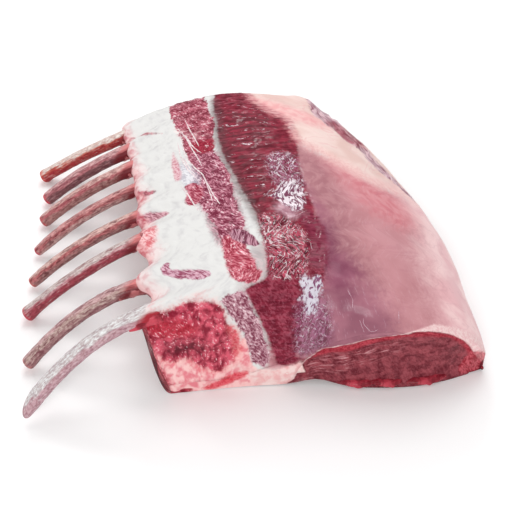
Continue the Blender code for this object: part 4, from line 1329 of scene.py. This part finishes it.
    @staticmethod
    def store(w: Wiring, geometry: object, name: str, value: object, kind: str) -> bpy.types.NodeSocket:
        """Keeps a value on the points under a name."""
        node = w.add(
            "GeometryNodeStoreNamedAttribute", {"Geometry": geometry, "Name": name}, data_type=kind, domain="POINT"
        )
        w.feed(node.inputs["Value"], value)
        return node.outputs[0]


@dataclass
class Bar:
    """One or more uneven bars along paths, joined into one piece.

    width, thickness, unevenness and slant are in mm, and each path is a list of points
    (x, y, z) in mm with a swell for each.
    """

    name: str
    paths: list[tuple[Array, Array]]
    width: float
    thickness: float
    material: bpy.types.Material
    unevenness: float = 0.2
    lump_size: float = 5.0
    seed: float = 1.0
    slant: float = 0.0
    sides: int = 28

    def build(self) -> bpy.types.Object:
        """Makes the bars as one plain mesh."""
        if SweepTree.tree is None:
            SweepTree.tree = SweepTree.build()
        path = self.path_object()
        modifier = path.modifiers.new("bar", "NODES")
        modifier.node_group = SweepTree.tree
        values = {
            "Width": self.width * MM, "Thickness": self.thickness * MM, "Unevenness": self.unevenness * MM,
            "Lump Size": self.lump_size, "Seed": self.seed, "Slant": self.slant * MM,
            "Sides": self.sides, "Material": self.material,
        }
        for socket in SweepTree.tree.interface.items_tree:
            if socket.name in values:
                modifier[socket.identifier] = values[socket.name]
        graph = bpy.context.evaluated_depsgraph_get()
        mesh = bpy.data.meshes.new_from_object(path.evaluated_get(graph), preserve_all_data_layers=True, depsgraph=graph)
        bpy.data.objects.remove(path)
        mesh.name = self.name
        obj = bpy.data.objects.new(self.name, mesh)
        bpy.context.scene.collection.objects.link(obj)
        return obj

    def path_object(self) -> bpy.types.Object:
        """The paths as the edges of a mesh, which the tree follows."""
        points = np.vstack([path for path, _ in self.paths])
        edges, start = [], 0
        for path, _ in self.paths:
            edges += [(start + k, start + k + 1) for k in range(len(path) - 1)]
            start += len(path)
        mesh = bpy.data.meshes.new(self.name + "_path")
        mesh.from_pydata(((points - ORIGIN) * MM).tolist(), edges, [])
        swell = np.concatenate([swells for _, swells in self.paths]).astype(np.float32)
        mesh.attributes.new("swell", "FLOAT", "POINT").data.foreach_set("value", swell)
        obj = bpy.data.objects.new(self.name + "_path", mesh)
        bpy.context.scene.collection.objects.link(obj)
        return obj


# ---- Ribs ---------------------------------------------------------------------------------
@dataclass(frozen=True)
class BoneFinish:
    """How one rib's bare bone looks: three bands of colour along it, streaks, and its cut tip.

    Besides the bone's own colours, the paler upper band is partly a painted highlight on the
    lit top and the darker lower band partly painted shade on the underside.
    streaky is how strongly the streak colour runs through the bands, and root how far the flesh
    reaches out along it from the meat, in mm. flesh is that flesh's colours, below and above,
    the lower one darker partly as painted shade.
    """

    upper: Colour
    middle: Colour
    lower: Colour
    streak: Colour
    tip: Colour
    streaky: float = 0.5
    upper_from: float = 0.2
    lower_from: float = -0.8
    root: float = 7.0
    flesh: tuple[Colour, Colour] = ((108, 22, 32), (206, 120, 120))

    def build(self, name: str, length: float) -> bpy.types.Material:
        """Makes the material of a rib whose bare part has the given length in mm."""
        material = bpy.data.materials.new(name)
        material.use_nodes = True
        w = Wiring(material.node_tree)
        shader = material.node_tree.nodes["Principled BSDF"]
        place = w.add("ShaderNodeAttribute", attribute_name="flow").outputs["Vector"]
        grains = TissueGrain.place(w, place)
        parts = w.add("ShaderNodeSeparateXYZ", {0: place}).outputs
        streak = w.noise(place, (0.9, 14.0, 0.9), 3.0, 0.4, 2.0)
        stain = w.noise(place, (3.0, 8.0, 3.0), 2.0, 0.5, 5.0)
        round_ = w.math("MULTIPLY_ADD", parts["X"], 0.65, w.math("MULTIPLY", parts["Z"], 0.75))
        round_ = w.math("MULTIPLY_ADD", w.math("SUBTRACT", streak, 0.5), 3.4, round_)
        round_ = w.math("MULTIPLY_ADD", w.math("SUBTRACT", stain, 0.5), 3.4, round_)
        # Paler upper band: the bone's own colour, partly a painted highlight on its lit top.
        colour = w.blend(
            w.ramp(round_, self.upper_from - 0.5, self.upper_from + 0.7), linear(self.middle), linear(self.upper)
        )
        # Darker lower band: the bone's own colour, partly painted shade on its underside.
        colour = w.blend(
            w.ramp(round_, self.lower_from + 0.4, self.lower_from - 0.8), colour, linear(self.lower)
        )
        lines = w.ramp(w.noise(place, (0.55, 5.5, 0.55), 3.0, 0.6, 7.0), 0.5, 0.62, 0.0, self.streaky)
        colour = w.blend(lines, colour, linear(self.streak))
        patch = w.ramp(w.noise(place, (1.6, 3.4, 1.6), 3.0, 0.6, 9.0), 0.55, 0.64, 0.0, self.streaky)
        colour = w.blend(patch, colour, linear(self.streak))
        light = w.ramp(w.noise(place, (0.6, 5.0, 0.6), 2.0, 0.4, 12.0), 0.56, 0.68, 0.0, 0.32)
        colour = w.blend(light, colour, linear(self.upper))
        grit = w.ramp(w.noise(place, (0.7, 1.5, 0.7), 3.0, 0.3, 15.0), 0.3, 0.7, 0.0, 1.0)
        colour = w.blend(0.8, colour, w.blend(grit, linear((196, 170, 172)), linear((255, 255, 255))), "MULTIPLY")
        at_tip = w.math("MULTIPLY_ADD", w.math("SUBTRACT", stain, 0.5), -6.0, parts["Y"])
        colour = w.blend(w.ramp(at_tip, 3.4, 0.5, 0.0, 0.9), colour, linear(self.tip))
        at_root = w.math("MULTIPLY_ADD", w.math("SUBTRACT", streak, 0.5), 9.0, parts["Y"])
        at_root = w.math("MULTIPLY_ADD", round_, -1.3, at_root)
        # Flesh darker below than above, partly painted shade.
        flesh = w.blend(w.ramp(round_, -0.6, 1.6), *map(linear, self.flesh))
        colour = w.blend(w.ramp(at_root, length - self.root - 2.0, length - self.root + 4.0), colour, flesh)
        height = w.math("MULTIPLY_ADD", streak, 0.5, w.math("MULTIPLY", grains[Grain.FINE], 0.25))
        bump = w.add("ShaderNodeBump", {"Height": height, "Strength": 1.0, "Distance": MM})
        w.feed(shader.inputs["Base Color"], colour)
        w.feed(shader.inputs["Roughness"], w.ramp(stain, 0.3, 0.7, 0.38, 0.55))
        w.feed(shader.inputs["Normal"], bump.outputs["Normal"])
        shader.inputs["Specular IOR Level"].default_value = 0.2
        shader.inputs["Coat Weight"].default_value = 0.12
        shader.inputs["Coat Roughness"].default_value = 0.18
        return material


class BoneTone(Enum):
    """The finishes of the ribs, from the loin end to the shoulder end."""

    CHALKY = BoneFinish(
        (226, 228, 227), (202, 168, 174), (198, 162, 170), (130, 66, 92), (208, 150, 158), 0.32, -0.6, -1.7, -1.0,
        ((160, 28, 44), (226, 214, 212)),
    )
    GREENISH = BoneFinish(
        (212, 178, 178), (194, 170, 162), (158, 116, 118), (116, 48, 64), (198, 116, 114), 0.6, 0.8, -1.2, 7.0,
    )
    MAGENTA = BoneFinish(
        (216, 206, 202), (204, 148, 154), (160, 66, 78), (128, 40, 60), (196, 40, 62), 0.5, 0.3, -0.4, 5.0,
    )
    EARTHY = BoneFinish(
        (228, 194, 186), (190, 110, 112), (158, 116, 114), (100, 34, 42), (206, 76, 64), 0.6, 0.5, -1.1, 5.0,
    )
    RUSTY = BoneFinish(
        (220, 164, 162), (180, 106, 108), (194, 160, 156), (104, 32, 42), (190, 36, 62), 0.6, 0.4, -1.2, 4.0,
    )
    PINK = BoneFinish(
        (222, 182, 176), (188, 108, 114), (168, 124, 120), (116, 40, 50), (186, 48, 58), 0.55, 0.7, -1.0, 6.0,
    )
    MAUVE = BoneFinish(
        (216, 172, 172), (186, 118, 124), (128, 84, 88), (104, 40, 58), (212, 44, 60), 0.5, 0.7, -0.9, 6.0,
    )
    TWO_SIDED = BoneFinish(
        (230, 220, 212), (196, 92, 76), (164, 42, 50), (204, 118, 100), (200, 72, 62), 0.35, -0.2, -0.8, 0.0,
    )


@dataclass(frozen=True)
class Rib:
    """One rib: its bare tip, where it enters the meat, and how strongly the bare part arches."""

    tip_x: float
    tip_y: float
    root_y: float
    root_z: float
    arch: float
    width: float
    tone: BoneTone
    tip_swell: float = 1.0
    slant: float = 0.0


RIBS = (
    Rib(0.8, -3.2, 8.5, 38.0, 0.78, 7.1, BoneTone.CHALKY, 0.92, 12.0),
    Rib(1.0, 23.6, 29.0, 35.4, 0.76, 6.5, BoneTone.GREENISH, 1.05),
    Rib(-1.0, 52.6, 55.8, 36.0, 0.40, 6.6, BoneTone.MAGENTA, 1.22),
    Rib(0.0, 73.2, 75.4, 33.6, 0.49, 6.4, BoneTone.EARTHY, 0.92),
    Rib(1.1, 94.8, 98.5, 31.7, 0.49, 6.2, BoneTone.RUSTY, 0.88),
    Rib(3.0, 117.8, 118.5, 29.9, 0.41, 7.5, BoneTone.PINK, 0.98),
    Rib(3.8, 135.8, 136.5, 28.0, 0.39, 7.8, BoneTone.MAUVE, 0.95),
    Rib(1.2, 156.3, 153.5, 25.8, 0.2, 7.5, BoneTone.TWO_SIDED, 1.1),
)


@dataclass
class RibSet:
    """The eight ribs, each bare as far as the meat and then running on inside it."""

    form: MeatForm
    ribs: Sequence[Rib] = RIBS
    tip_z: float = 2.5
    thickness_share: float = 0.84
    entry: float = 42.0
    end_rounding: float = 1.6
    root_swell: float = 0.12
    bare_points: int = 60
    hidden_points: int = 26

    def path(self, rib: Rib) -> Array:
        """Points along a rib from its bare tip to its end inside the meat."""
        form = self.form
        v = rib.root_y / form.length
        root_x = at_length(form.frenched_edge_x, v)
        end_x = at_length(form.back_side_x, v) - form.foot_inset - form.foot_width / 2
        rise, run = rib.root_z - self.tip_z, root_x - rib.tip_x
        share = np.linspace(0, 1, self.bare_points, endpoint=False)
        bare = np.column_stack([
            rib.tip_x + run * share,
            rib.tip_y + (rib.root_y - rib.tip_y) * share,
            self.tip_z + rise * (share + rib.arch * share * (1 - share)),
        ])
        entry_z, next_z = (float(form.rib_line_z(v, root_x + self.entry + step)) for step in (0.0, 1.0))
        x = np.linspace(root_x, end_x, self.hidden_points)
        share = np.minimum(1.0, (x - root_x) / self.entry)
        swing = (rib.root_y - rib.tip_y) / run
        slopes = (rise * (1 - rib.arch) / run, next_z - entry_z)
        z = np.where(
            share < 1, hermite(share, (rib.root_z, entry_z), slopes, self.entry), form.rib_line_z(v, x)
        )
        y = rib.root_y + swing * self.entry * (share - share**2 / 2)
        return np.vstack([bare, np.column_stack([x, y, z])])

    def swells(self, rib: Rib, path: Array) -> Array:
        """The rib's size along its path: rounded ends, a swollen tip and a flared root."""
        steps = np.linalg.norm(np.diff(path, axis=0), axis=1)
        way = np.concatenate([[0], np.cumsum(steps)])
        from_end = np.minimum(way, way[-1] - way)
        rounding = np.sqrt(np.clip(1 - (1 - np.minimum(1, from_end / self.end_rounding)) ** 2, 0.08, 1))
        tip = 1 + (rib.tip_swell - 1) * np.exp(-((way / 5.0) ** 2))
        root = 1 + self.root_swell * np.exp(-(((path[:, 0] - 53.0) / 8.0) ** 2))
        return rounding * tip * root

    def build(self) -> list[bpy.types.Object]:
        """Makes and dresses every rib."""
        made = []
        for number, rib in enumerate(self.ribs, start=1):
            path = self.path(rib)
            bare = path[: self.bare_points + 1]
            length = float(np.linalg.norm(np.diff(bare, axis=0), axis=1).sum())
            finish = rib.tone.value.build(f"bone_finish_{number}", length)
            bar = Bar(
                f"rib_bone_{number}", [(path, self.swells(rib, path))], rib.width, rib.width * self.thickness_share,
                finish, 0.35, 6.0, number * 3.7, rib.slant, 32,
            )
            obj = bar.build()
            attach(obj, BODY)
            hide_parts(f"rib_{number}")
            report(obj)
            made.append(obj)
        return made


# ---- Threads, collars and scraps ----------------------------------------------------------
@dataclass(frozen=True)
class FleshFinish:
    """Loose raw tissue: two colours mixed in patches, and a wet film over it."""

    dark: Colour
    light: Colour
    grain: Grain = Grain.BLOTCH
    span: tuple[float, float] = (0.4, 0.6)
    roughness: float = 0.35
    coat: float = 0.2
    relief: float = 0.4

    def build(self, name: str) -> bpy.types.Material:
        """Makes the material."""
        material = bpy.data.materials.new(name)
        material.use_nodes = True
        w = Wiring(material.node_tree)
        shader = material.node_tree.nodes["Principled BSDF"]
        place = w.add("ShaderNodeAttribute", attribute_name="flow").outputs["Vector"]
        grains = TissueGrain.place(w, place)
        colour = w.blend(w.ramp(grains[self.grain], *self.span), linear(self.dark), linear(self.light))
        height = w.math("MULTIPLY", grains[Grain.FINE], self.relief)
        bump = w.add("ShaderNodeBump", {"Height": height, "Strength": 1.0, "Distance": MM})
        w.feed(shader.inputs["Base Color"], colour)
        w.feed(shader.inputs["Normal"], bump.outputs["Normal"])
        shader.inputs["Roughness"].default_value = self.roughness
        shader.inputs["Specular IOR Level"].default_value = 0.2
        shader.inputs["Coat Weight"].default_value = self.coat
        shader.inputs["Coat Roughness"].default_value = 0.15
        return material


class LooseTone(Enum):
    """The finishes of loose tissue."""

    SINEW = FleshFinish((214, 186, 192), (236, 226, 224), Grain.FINE, coat=0.3)
    THREAD = FleshFinish((190, 148, 162), (212, 184, 194), Grain.FINE, coat=0.2)
    GRISTLE = FleshFinish((106, 26, 34), (184, 104, 106), Grain.BLOTCH, (0.38, 0.66), coat=0.1, relief=0.6)
    RED = FleshFinish((126, 18, 36), (194, 66, 82), Grain.BLOTCH, (0.36, 0.64), coat=0.15, relief=0.6)
    FAT = FleshFinish((232, 196, 192), (236, 228, 222), Grain.BLOTCH, coat=0.1, relief=0.4)


SINEWS = (
    ((74.1, 126.8), (74.6, 114.0), (75.6, 101.6), (78.5, 92.5), (81.5, 85.6), (82.8, 74.0), (83.8, 63.8)),
    ((75.4, 124.7), (77.8, 114.0), (79.9, 103.0), (81.7, 92.7)),
    ((81.5, 85.6), (83.8, 72.3), (86.6, 61.8)),
    ((71.3, 80.9), (74.5, 70.6), (77.5, 60.3)),
    ((77.4, 138.2), (80.0, 121.5), (81.9, 110.5)),
    ((72.6, 118.0), (73.2, 104.0), (75.0, 94.0), (78.6, 84.0)),
    ((73.6, 132.0), (76.5, 122.0), (79.0, 112.0), (82.6, 104.0)),
    ((74.0, 104.0), (75.2, 97.0), (78.0, 88.0)),
)
THREADS = (
    ((97.0, 142.0), (103.5, 140.8), (109.6, 136.7), (115.1, 133.8), (121.2, 131.6), (130.0, 132.0)),
    ((112.6, 44.4), (115.6, 37.7), (118.1, 31.5), (119.3, 23.3)),
    ((135.3, -8.0), (133.9, -15.0), (135.1, -18.5), (137.0, -20.5), (139.3, -19.0)),
    ((147.5, -8.0), (147.0, -15.0)),
    ((132.5, -14.0), (133.3, -17.5), (134.2, -21.0)),
    ((129.0, 2.0), (130.5, -3.0), (130.0, -8.0)),
    ((115.0, 84.0), (118.0, 88.0), (122.0, 88.0)),
    ((110.0, 72.0), (114.0, 80.0), (120.0, 82.0)),
    ((104.0, 42.0), (110.0, 34.0), (116.0, 20.0)),
)


@dataclass
class LooseTissue:
    """What lies on the meat: sinews, fine threads, torn collars at the ribs, and scraps."""

    skin: MeatSkin
    ribs: RibSet

    def build(self) -> list[bpy.types.Object]:
        """Makes and dresses every piece."""
        made = [
            self.strands("sinews", SINEWS, 0.8, -0.1, LooseTone.SINEW),
            self.strands("fine_threads", THREADS, 0.28, -0.06, LooseTone.THREAD),
            self.collars(),
            self.shred(),
            self.flap_lip(),
            self.scraps(),
            self.fat_tag(),
        ]
        for obj in made:
            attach(obj, BODY)
            report(obj)
        return made

    def strands(
        self, name: str, lines: Sequence[Sequence[tuple[float, float]]], width: float, lift: float, tone: LooseTone
    ) -> bpy.types.Object:
        """Strands along lines over the meat, thinning to both ends."""
        paths = []
        for line in lines:
            path = self.skin.over(line, lift)
            share = np.linspace(0, 1, len(path))
            paths.append((path, 0.35 + 0.65 * np.sin(math.pi * share) ** 0.6))
        return Bar(name, paths, width, width * 0.6, tone.value.build(name + "_finish"), 0.15, 1.5, 2.0, 0.0, 7).build()

    def sleeve(self, rib: Rib, inwards: float, outwards: float, drop: float) -> tuple[Array, Array]:
        """A ragged sleeve round a rib's root, that dips under the bone at its outer end.

        Args:
            rib: the rib.
            inwards: how far it runs on inside the meat, in mm.
            outwards: how far it reaches out along the bone, in mm.
            drop: how far it hangs under the bone and towards the loin end, in mm.

        Returns:
            Its path, and its size there as a share of its full size.
        """
        spine = self.ribs.path(rib)
        root_x = spine[self.ribs.bare_points, 0]
        x = np.linspace(root_x + inwards, root_x - outwards, 18)
        path = np.column_stack([x, *(np.interp(x, spine[:, 0], spine[:, k]) for k in (1, 2))])
        path[:, 1] -= 0.7 * drop
        path[:, 2] -= drop
        share = np.linspace(0, 1, 18)
        return path, rib.width * (1.16 - 0.34 * share**1.5)

    def collars(self) -> bpy.types.Object:
        """The torn tissue round the ribs where they leave the meat."""
        sleeves = [
            self.sleeve(rib, 5.0, reach, 0.3)
            for rib, reach in zip(self.ribs.ribs[1:], (9.0, 5.5, 7.0, 4.5, 6.0, 4.5, 4.0))
        ]
        finish = LooseTone.GRISTLE.value.build("collar_finish")
        return Bar("root_collars", sleeves, 1.03, 0.88, finish, 0.9, 3.6, 4.0, 0.0, 36).build()

    def flap_lip(self) -> bpy.types.Object:
        """The red flesh of the flap that clings to the underside of the first rib."""
        lip = self.sleeve(self.ribs.ribs[0], 12.0, 4.0, 1.0)
        finish = LooseTone.RED.value.build("flap_lip_finish")
        return Bar("flap_lip", [lip], 1.03, 0.88, finish, 1.0, 3.6, 6.0, 0.0, 36).build()

    def shred(self) -> bpy.types.Object:
        """The torn red strip that runs from the meat along the far side of the second rib."""
        path = self.ribs.path(self.ribs.ribs[1])[26:self.ribs.bare_points - 2:2].copy()
        path[:, 1] += 2.7
        path[:, 2] += 0.7
        share = np.linspace(0, 1, len(path))
        swell = 0.3 + 0.7 * smoothstep(share / 0.3)
        finish = LooseTone.RED.value.build("shred_finish")
        return Bar("rib_shred", [(path, swell)], 2.1, 1.6, finish, 0.7, 3.0, 5.0, 0.0, 10).build()

    def scraps(self) -> bpy.types.Object:
        """Red trimmings that hang out under the eye's cut face."""
        paths = []
        for start, end, out, height in ((126.0, 141.0, 0.6, 2.2), (139.0, 152.0, 0.2, 2.6), (154.0, 171.0, 0.0, 1.8)):
            x = np.linspace(start, end, 14)
            share = np.linspace(0, 1, 14)
            y = self.skin.form.cut(x) + 1.2 - out * np.sin(math.pi * share)
            z = np.full(14, height)
            paths.append((np.column_stack([x, y, z]), 0.25 + 0.75 * np.sin(math.pi * share) ** 0.7))
        finish = LooseTone.RED.value.build("scrap_finish")
        return Bar("trim_scraps", paths, 4.6, 2.8, finish, 1.4, 3.2, 7.0, 0.0, 18).build()

    def fat_tag(self) -> bpy.types.Object:
        """The ragged white tag of fat where the flap meets the eye's cut."""
        x = np.linspace(100.0, 112.5, 12)
        share = np.linspace(0, 1, 12)
        y = self.skin.form.cut(x) + 0.6
        z = 5.2 + 4.5 * share
        finish = LooseTone.FAT.value.build("fat_tag_finish")
        path = np.column_stack([x, y, z])
        return Bar("fat_tag", [(path, 0.4 + 0.6 * share)], 2.6, 5.5, finish, 1.1, 3.0, 9.0, 0.0, 12).build()


# ---- Studio -------------------------------------------------------------------------------
@dataclass
class Studio:
    """A pale floor, soft light from above, and the camera."""

    camera_place: tuple[float, float, float] = (-0.0320, -0.3015, 0.2668)
    camera_aim: tuple[float, float, float] = (0.1050, 0.7474, -0.6561)
    lens: float = 60.0
    floor_colour: Colour = (246, 246, 246)
    world_strength: float = 0.62

    def build(self) -> None:
        """Sets up the camera, the floor, the world and the lights."""
        self.add_camera()
        self.add_floor()
        self.add_world()
        self.add_light("overhead", (0.05, 0.3, 0.8), (0.0, 0.0, 0.0), 0.5, 2.6)
        self.add_light("front", (-0.3, -0.9, 0.6), (0.0, 0.0, 0.02), 0.4, 4.6)
        self.add_light("back", (0.08, 0.6, 0.52), (0.0, 0.0, 0.03), 0.12, 0.7)
        self.add_light("back_left", (-0.45, 0.45, 0.5), (0.0, 0.0, 0.03), 0.12, 0.5)

    def add_camera(self) -> None:
        """Makes the scene's camera."""
        data = bpy.data.cameras.new("camera")
        data.lens = self.lens
        camera = bpy.data.objects.new("camera", data)
        camera.location = self.camera_place
        camera.rotation_euler = Vector(self.camera_aim).to_track_quat("-Z", "Y").to_euler()
        bpy.context.scene.collection.objects.link(camera)
        bpy.context.scene.camera = camera

    def add_floor(self) -> None:
        """Makes the floor, a hair under the meat."""
        size, level = 4.0, -0.0003
        corners = [(x, y, level) for x, y in ((-size, -size), (size, -size), (size, size), (-size, size))]
        mesh = bpy.data.meshes.new("floor")
        mesh.from_pydata(corners, [], [(0, 1, 2, 3)])
        floor = bpy.data.objects.new("floor", mesh)
        bpy.context.scene.collection.objects.link(floor)
        material = bpy.data.materials.new("floor_finish")
        material.use_nodes = True
        shader = material.node_tree.nodes["Principled BSDF"]
        shader.inputs["Base Color"].default_value = linear(self.floor_colour)
        shader.inputs["Roughness"].default_value = 0.9
        shader.inputs["Specular IOR Level"].default_value = 0.1
        mesh.materials.append(material)

    def add_world(self) -> None:
        """Makes the even light all round."""
        world = bpy.data.worlds.new("studio")
        world.use_nodes = True
        back = world.node_tree.nodes["Background"]
        back.inputs["Color"].default_value = (1.0, 1.0, 1.0, 1.0)
        back.inputs["Strength"].default_value = self.world_strength
        bpy.context.scene.world = world
        bpy.context.scene.view_settings.view_transform = "Standard"

    def add_light(self, name: str, place: Sequence[float], aim: Sequence[float], size: float, power: float) -> None:
        """Makes a soft square light.

        Args:
            name: the light's name.
            place: where it hangs.
            aim: the point that it faces.
            size: its side, in metres.
            power: its power, in watts.
        """
        data = bpy.data.lights.new(name, "AREA")
        data.size = size
        data.energy = power
        light = bpy.data.objects.new(name, data)
        light.location = place
        light.rotation_euler = (Vector(aim) - Vector(place)).to_track_quat("-Z", "Y").to_euler()
        bpy.context.scene.collection.objects.link(light)


def main() -> None:
    """Builds the part and the studio round it."""
    logging.basicConfig(level=logging.INFO, format="%(message)s")
    Studio().build()
    skin = MeatSkin()
    skin.dress(skin.build())
    ribs = RibSet(skin.form)
    ribs.build()
    LooseTissue(skin, ribs).build()


if __name__ == "__main__":
    main()
